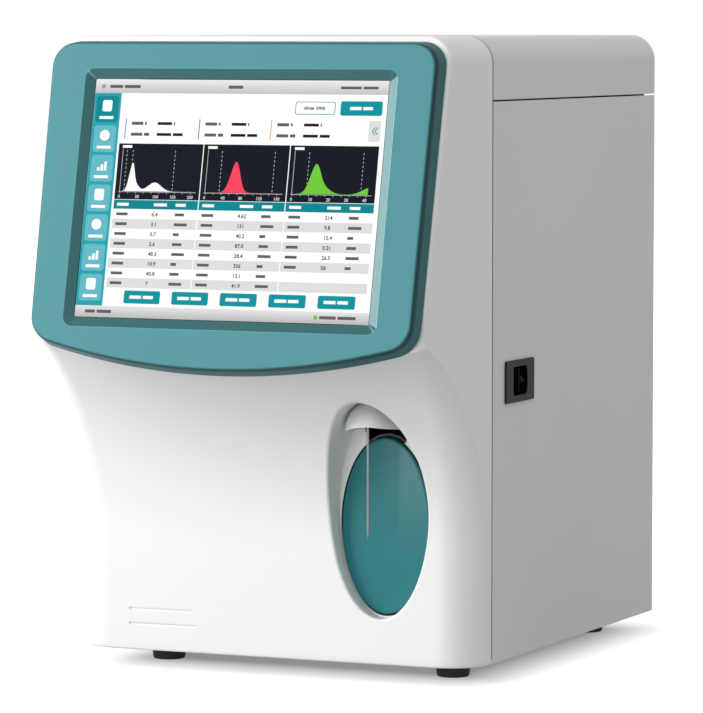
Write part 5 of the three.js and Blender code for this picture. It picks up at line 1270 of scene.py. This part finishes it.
face_x, opening_shape = HALF + LATCH_PROUD, (2.2, (-0.8, 0.0))
latch_loops = [
    (latch_loop(BOX_HALF, 0.8), HALF - BOX_DEPTH), (latch_loop(BOX_HALF, 0.8), HALF + GAP),
    (latch_loop(LATCH_HALF, 1.5), HALF + GAP), (latch_loop(LATCH_HALF, 1.5), face_x - 0.35),
    (latch_loop((24.2, 13.7), 1.3), face_x), (latch_loop((11.5, 9.9), 1.2, *opening_shape), face_x),
    (latch_loop((11.2, 9.6), 1.0, *opening_shape), face_x - 0.3),
    (latch_loop((13.2, 9.4), 1.0), face_x - POCKET_DEPTH)]
latch_rows = [np.column_stack([np.full(len(loop), x), loop]) for loop, x in latch_loops]
latch = add_solid("latch_collar", tube(latch_rows), grey_moulding, "door", ["latch_frame"])
latch.data.materials.append(black_and_painted_shade)
opening_x = (face_x - 0.2 + ORIGIN[0]) * MM
pocket_x = (HALF - POCKET_DEPTH + ORIGIN[0] + 0.5) * MM
inside_y = (LATCH_MIDDLE[0] + ORIGIN[1]) * MM
# Faces inside the recess, near its opening or facing out of its floor, get the near-black: painted shade.
for face in latch.data.polygons:
    near_opening = abs(face.center.y - inside_y) < 15 * MM and abs(face.normal.x) < 0.9
    inside = pocket_x < face.center.x < opening_x
    face.material_index = int(inside and (near_opening or face.normal.x > 0.5))
print("latch faces", len(latch.data.polygons))

# %% [markdown]
# A black strip fills the seam between the front moulding and the panels as painted shade: it is what
# makes the seam read as a dark line. Its section is swept along the body's outline, with a narrow lip
# over the moulding's edge.

# %% Seam shade strip
def body_line(inset, foot_z, steps):
    """Up one side, over the top and down the other side, inside the body's outline by an inset."""
    bend = arc((HALF - TOP_RADIUS, HEIGHT - TOP_RADIUS), TOP_RADIUS - inset, 0, QUARTER, steps)
    line = np.concatenate([[[HALF - inset, foot_z]], bend])
    return np.concatenate([line, line[::-1] * np.array([-1, 1])])


SEAM_FOOT = 4.0
seam_section = [(-0.04, -0.75), (-0.04, -0.1), (0.3, 0.1), (0.3, 0.52), (1.7, 0.52), (1.7, -0.26),
                (0.02, -0.26), (0.02, -0.75)]
seam_points = np.array([at_depth(body_line(inset, SEAM_FOOT, 24), y) for inset, y in seam_section])
section_count, line_count = seam_points.shape[:2]
start_face = [i * line_count for i in range(section_count)]
seam_faces = quads(section_count, line_count, close_rows=True).tolist()
seam_faces += [start_face, [i + line_count - 1 for i in start_face]]
add_solid("seam_shade_strip", (seam_points, seam_faces), seam_shade_black, "cabinet", slot="front_cover")
print("seam_strip", seam_points.shape)

# %% [markdown]
# The top cover is one sheet bent over both long edges with an 18 mm radius. Its outline in the model has
# few corners, so it is drawn again: outer line, inner line two millimetres in, swept along the machine.

# %% Top cover
TOP_WALL, PANEL_FRONT, DOOR_GAP = 2.0, 0.6, 1.1
SKIRT_Z = here("right_door")[1][2] + DOOR_GAP
REAR_PLANE = here("top_cover")[1][1]
profile = np.concatenate([body_line(0, SKIRT_Z, 28), body_line(TOP_WALL, SKIRT_Z, 28)[::-1]])
count = len(profile)
sheet_faces = quads(2, count, close_columns=True).tolist()
for start in (0, count):
    sheet_faces += [[start + i, start + i + 1, start + count - 2 - i, start + count - 1 - i]
                    for i in range(count // 2 - 1)]
top = add_solid("top_cover_sheet", (np.array([at_depth(profile, y) for y in (PANEL_FRONT, REAR_PLANE)]),
                                    sheet_faces), panel_paint, "cabinet", ["top_cover"])
set_smooth(top.data)
add_bevel(top, 0.12)
print("top cover", len(top.data.polygons), "faces, skirt at", round(SKIRT_Z, 2))

# %% [markdown]
# The feet are soft rubber that tapers toward the table, with a rounded foot so that they don't cut into
# it. A foot is round, so it is one profile turned about an upright axis.

# %% Feet
FOOT_HEIGHT, FOOT_ROUND, FOOT_HALF = 14.2, 1.5, 12.8
foot_corner = arc((9.5, FOOT_ROUND - FOOT_HEIGHT), FOOT_ROUND, math.radians(-90), math.radians(-8), 6)
foot_profile = np.array([(0.01, -FOOT_HEIGHT), *foot_corner, (FOOT_HALF - 0.3, -0.6), (FOOT_HALF, 0.0),
                         (FOOT_HALF, GAP), (0.01, GAP)])
for side in ("left", "right"):
    for end in ("front", "rear"):
        node = f"{end}_{side}_foot"
        middle = sum(here(node))[:2] / 2
        rows = [np.column_stack([oval(middle, radius, full_turn(56)), np.full(56, z)])
                for radius, z in foot_profile]
        mesh = tidy_mesh(make_mesh(node + "_rubber", *tube(rows)), 0.002)
        add_piece(node + "_rubber", mesh, foot_rubber, "cabinet", [node])
print("foot profile", foot_profile.shape)

# %% [markdown]
# The fan's guard keeps fingers out: three rings and two bars of steel wire, welded where they cross. Each
# wire is its own round tube, so the welds look as they do on a real guard.

# %% Fan guard
WIRE, BAR_LENGTH = 0.95, 76
guard_middle = sum(here("fan_guard")) / 2
section = full_turn(12)


def wire_ring(radius):
    """A ring of round wire in the x-z plane: (R + r cos b) turned by a, set off by r sin b."""
    a = full_turn(72)[:, None]
    reach = radius + WIRE * np.cos(section)
    ring = np.stack([reach * np.cos(a), WIRE * np.sin(section) + 0 * a, reach * np.sin(a)], axis=-1)
    faces = quads(*ring.shape[:2], close_rows=True, close_columns=True).tolist()
    return (ring + guard_middle).reshape(-1, 3), faces


def wire_bar(degrees):
    """A straight wire in the x-z plane through the middle, with rounded ends."""
    cos, sin = math.cos(math.radians(degrees)), math.sin(math.radians(degrees))
    rows = []
    for share, r in ((-0.5, WIRE * 0.4), (-0.497, WIRE), (0.497, WIRE), (0.5, WIRE * 0.4)):
        along, off, up = BAR_LENGTH * share, r * np.cos(section), r * np.sin(section)
        rows.append(np.stack([along * cos - off * sin, up, along * sin + off * cos], axis=1))
    return tube(np.array(rows) + guard_middle)


guard = joined([*map(wire_ring, (36.8, 24.1, 11.5)), *map(wire_bar, (45, 135))])
add_solid("fan_guard_wire", guard, ground_steel, "cabinet", ["fan_guard"])
print("guard", len(guard[1]), "faces")

# %% [markdown]
# Reagent and waste hoses push onto four resin nozzles on a plate. Each nozzle has two barbs that hold the
# hose, so its profile steps out and back, and it is turned about the level axis.

# %% Hose fittings
FITTING_X, FITTING_Z, FITTING_PITCH, FITTING_PLATE = 96.0, 200.0, 20.0, 3.0
fitting_back = here("rear_panel")[1][1] + GAP
plate = rounded_loop((42.0, 13.0), 3.0, 8, (10, 10), (FITTING_X, FITTING_Z))
nozzle = [(4.0, 2.9), (5.6, 2.9), (5.6, 5.2), (3.3, 5.6), (3.0, 6.4), (4.0, 6.6), (3.1, 8.6), (4.0, 8.8),
          (2.8, 11.0), (1.7, 11.0), (1.6, 3.2)]
fitting_parts = [tube([at_depth(plate, fitting_back + y) for y in (0, FITTING_PLATE)])]
for x in FITTING_X + FITTING_PITCH * (np.arange(4) - 1.5):
    fitting_parts.append(tube([at_depth(oval((x, FITTING_Z), radius, full_turn(40)), fitting_back + reach)
                               for radius, reach in nozzle]))
add_solid("hose_fittings", joined(fitting_parts), resin, "cabinet", ["fluid_fittings"])
print("fittings", len(fitting_parts) - 1, "nozzles")

# %% [markdown]
# What stays as it is in the model still needs its real material: ground steel for rods and springs, drawn
# aluminium, glass barrels, acrylic baths, a green board. Each node's own material slot takes it.

# %% Materials of the remaining parts
glass_barrel = clear_plastic("glass_barrel", colour(232, 240, 240), 0.03)
bath_plastic = clear_plastic("bath_plastic", colour(214, 220, 216), 0.16)
board_green = moulded("circuit_board", colour(38, 92, 64), 0.4, tone=0.08)
panel_back = brushed("display_back", colour(150, 153, 155), 0.4)
needle_steel = brushed("needle_steel", colour(128, 126, 123), 0.34)
carried = {
    "lcd_module": panel_back, "key_spring": ground_steel, "probe_needle": needle_steel,
    "left_guide_rod": ground_steel, "right_guide_rod": ground_steel, "drive_pulley": milled_aluminium,
    "idler_pulley": milled_aluminium, "lift_belt": belt_rubber, "latch_spring": black_steel,
    "fan_rotor": dark_moulding, "white_cell_bath": bath_plastic, "red_cell_bath": bath_plastic,
    "drain_valves": dark_moulding, "valve_manifold": clear, "small_syringe_barrel": glass_barrel,
    "large_syringe_barrel": glass_barrel, "small_plunger": resin, "large_plunger": resin,
    "syringe_motor": black_anodised, "waste_pump_motor": zinc, "waste_pump_rotor": resin,
    "main_board": board_green,
}
for node, finish in carried.items():
    for material_slot in nodes[node].material_slots:
        material_slot.material = finish
unfinished = [name for name, node in nodes.items() if not node.hide_render and name not in carried]
print(len(carried), "parts keep their form; without a finish:", unfinished)

# %% [markdown]
# The photograph was taken from far away with a long lens, a little above the machine and 24 degrees round
# to its right. The camera's place comes from matching the corners of the body to the photograph.

# %% Camera
camera = new_object("camera", bpy.data.cameras.new("camera"))
camera.data.lens = 228.2
camera.data.sensor_width = 36
camera.location = (1.2749, -2.821667, 0.4354)
camera.rotation_euler = (math.radians(90 - 4.22), 0, math.radians(24.25))
bpy.context.scene.camera = camera
print("camera", tuple(round(v, 3) for v in camera.location), "lens", camera.data.lens)

# %% [markdown]
# The light is a studio's: a large soft lamp in front and to the left, a weaker one low in front, a small
# one on the left for the bezel's edge, a faint one above on the right, and a pale room. The room is white
# where the camera sees it, straight, in a mirror or through glass, and dimmer where it lights things.

# %% Lamps and room
def soft_lamp(name, place, target, size, watts):
    """A square lamp at a place in metres, turned toward a target."""
    lamp = new_object(name, bpy.data.lights.new(name, "AREA"))
    lamp.data.size = size
    lamp.data.energy = watts
    lamp.location = place
    lamp.rotation_euler = (Vector(target) - Vector(place)).to_track_quat("-Z", "Y").to_euler()
    return lamp


def seen_directly(finish):
    """One for rays from the camera, off mirrors and through glass; zero for light that falls on things."""
    path = finish.node("ShaderNodeLightPath")
    return (path["Is Camera Ray"] + path["Is Glossy Ray"] + path["Is Transmission Ray"]).clamp(0, 1)


TARGET, ROOM = (0, 0, 0.22), 0.54
lamps = [
    soft_lamp("key_light", (-1.67, -1.51, 1.2), TARGET, 1.2, 36.5),
    soft_lamp("front_light", (-0.3, -2.6, 0.3), TARGET, 1.0, 20),
    soft_lamp("left_strip", (-1.76, -0.76, 0.75), (0.1, -0.19, 0.32), 0.35, 3.6),
    soft_lamp("top_light", (1.3, 0.2, 1.7), TARGET, 1.2, 3.6),
]
world = bpy.data.worlds.new("studio")
world.use_nodes = True
bpy.context.scene.world = world
bpy.context.scene.view_settings.view_transform = "Standard"
studio = Nodes(world.node_tree)
backdrop = studio.tree.nodes["Background"]
backdrop.inputs["Color"].default_value = (1, 1, 1, 1)
studio.put(backdrop.inputs["Strength"], seen_directly(studio) * (1 - ROOM) + ROOM)
print(len(lamps), "lamps")

# %% [markdown]
# The machine stands on white paper. Lit paper alone would be grey beside a white page, so the paper also
# glows: a little under the machine and fully a few centimetres off it, which paints a soft shadow close
# round the feet. The glow grows with the distance from a rectangle under the body.

# %% Floor
PAINTED_SHADOW_MIDDLE, PAINTED_SHADOW_HALF, GLOW_PER_METRE, GLOW_START = (0, 0.0725, 0), (0.109, 0.1275, 0), 12, 0.22
floor_paper = Finish("floor_paper", (0.4, 0.4, 0.4, 1), 1.0, Specular_IOR_Level=0.0, Emission_Strength=1.0)
off_middle = floor_paper.vector("SUBTRACT", {0: floor_paper.place(), 1: PAINTED_SHADOW_MIDDLE})
off_middle = floor_paper.vector("ABSOLUTE", {0: off_middle})
off_core = floor_paper.vector("SUBTRACT", {0: off_middle, 1: PAINTED_SHADOW_HALF})
off_core = floor_paper.vector("MAXIMUM", {0: off_core, 1: (0, 0, 0)})
away = floor_paper.vector("LENGTH", {0: off_core}, "Value")
glow = (away * GLOW_PER_METRE + GLOW_START).clamp(0, 1) * seen_directly(floor_paper)
floor_paper.set("Emission Color", floor_paper.scaled((1, 1, 1), glow))
floor_mesh = bpy.data.meshes.new("floor")
floor_mesh.from_pydata([(-6, -6, 0), (6, -6, 0), (6, 6, 0), (-6, 6, 0)], [], [(0, 1, 2, 3)])
floor = new_object("floor", floor_mesh)
floor.data.materials.append(floor_paper.material)
floor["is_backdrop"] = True
print("floor", tuple(round(v) for v in floor.dimensions))

# %% [markdown]
# The bounds of the dressed machine are measured once more.

# %% Sizes
low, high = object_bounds()
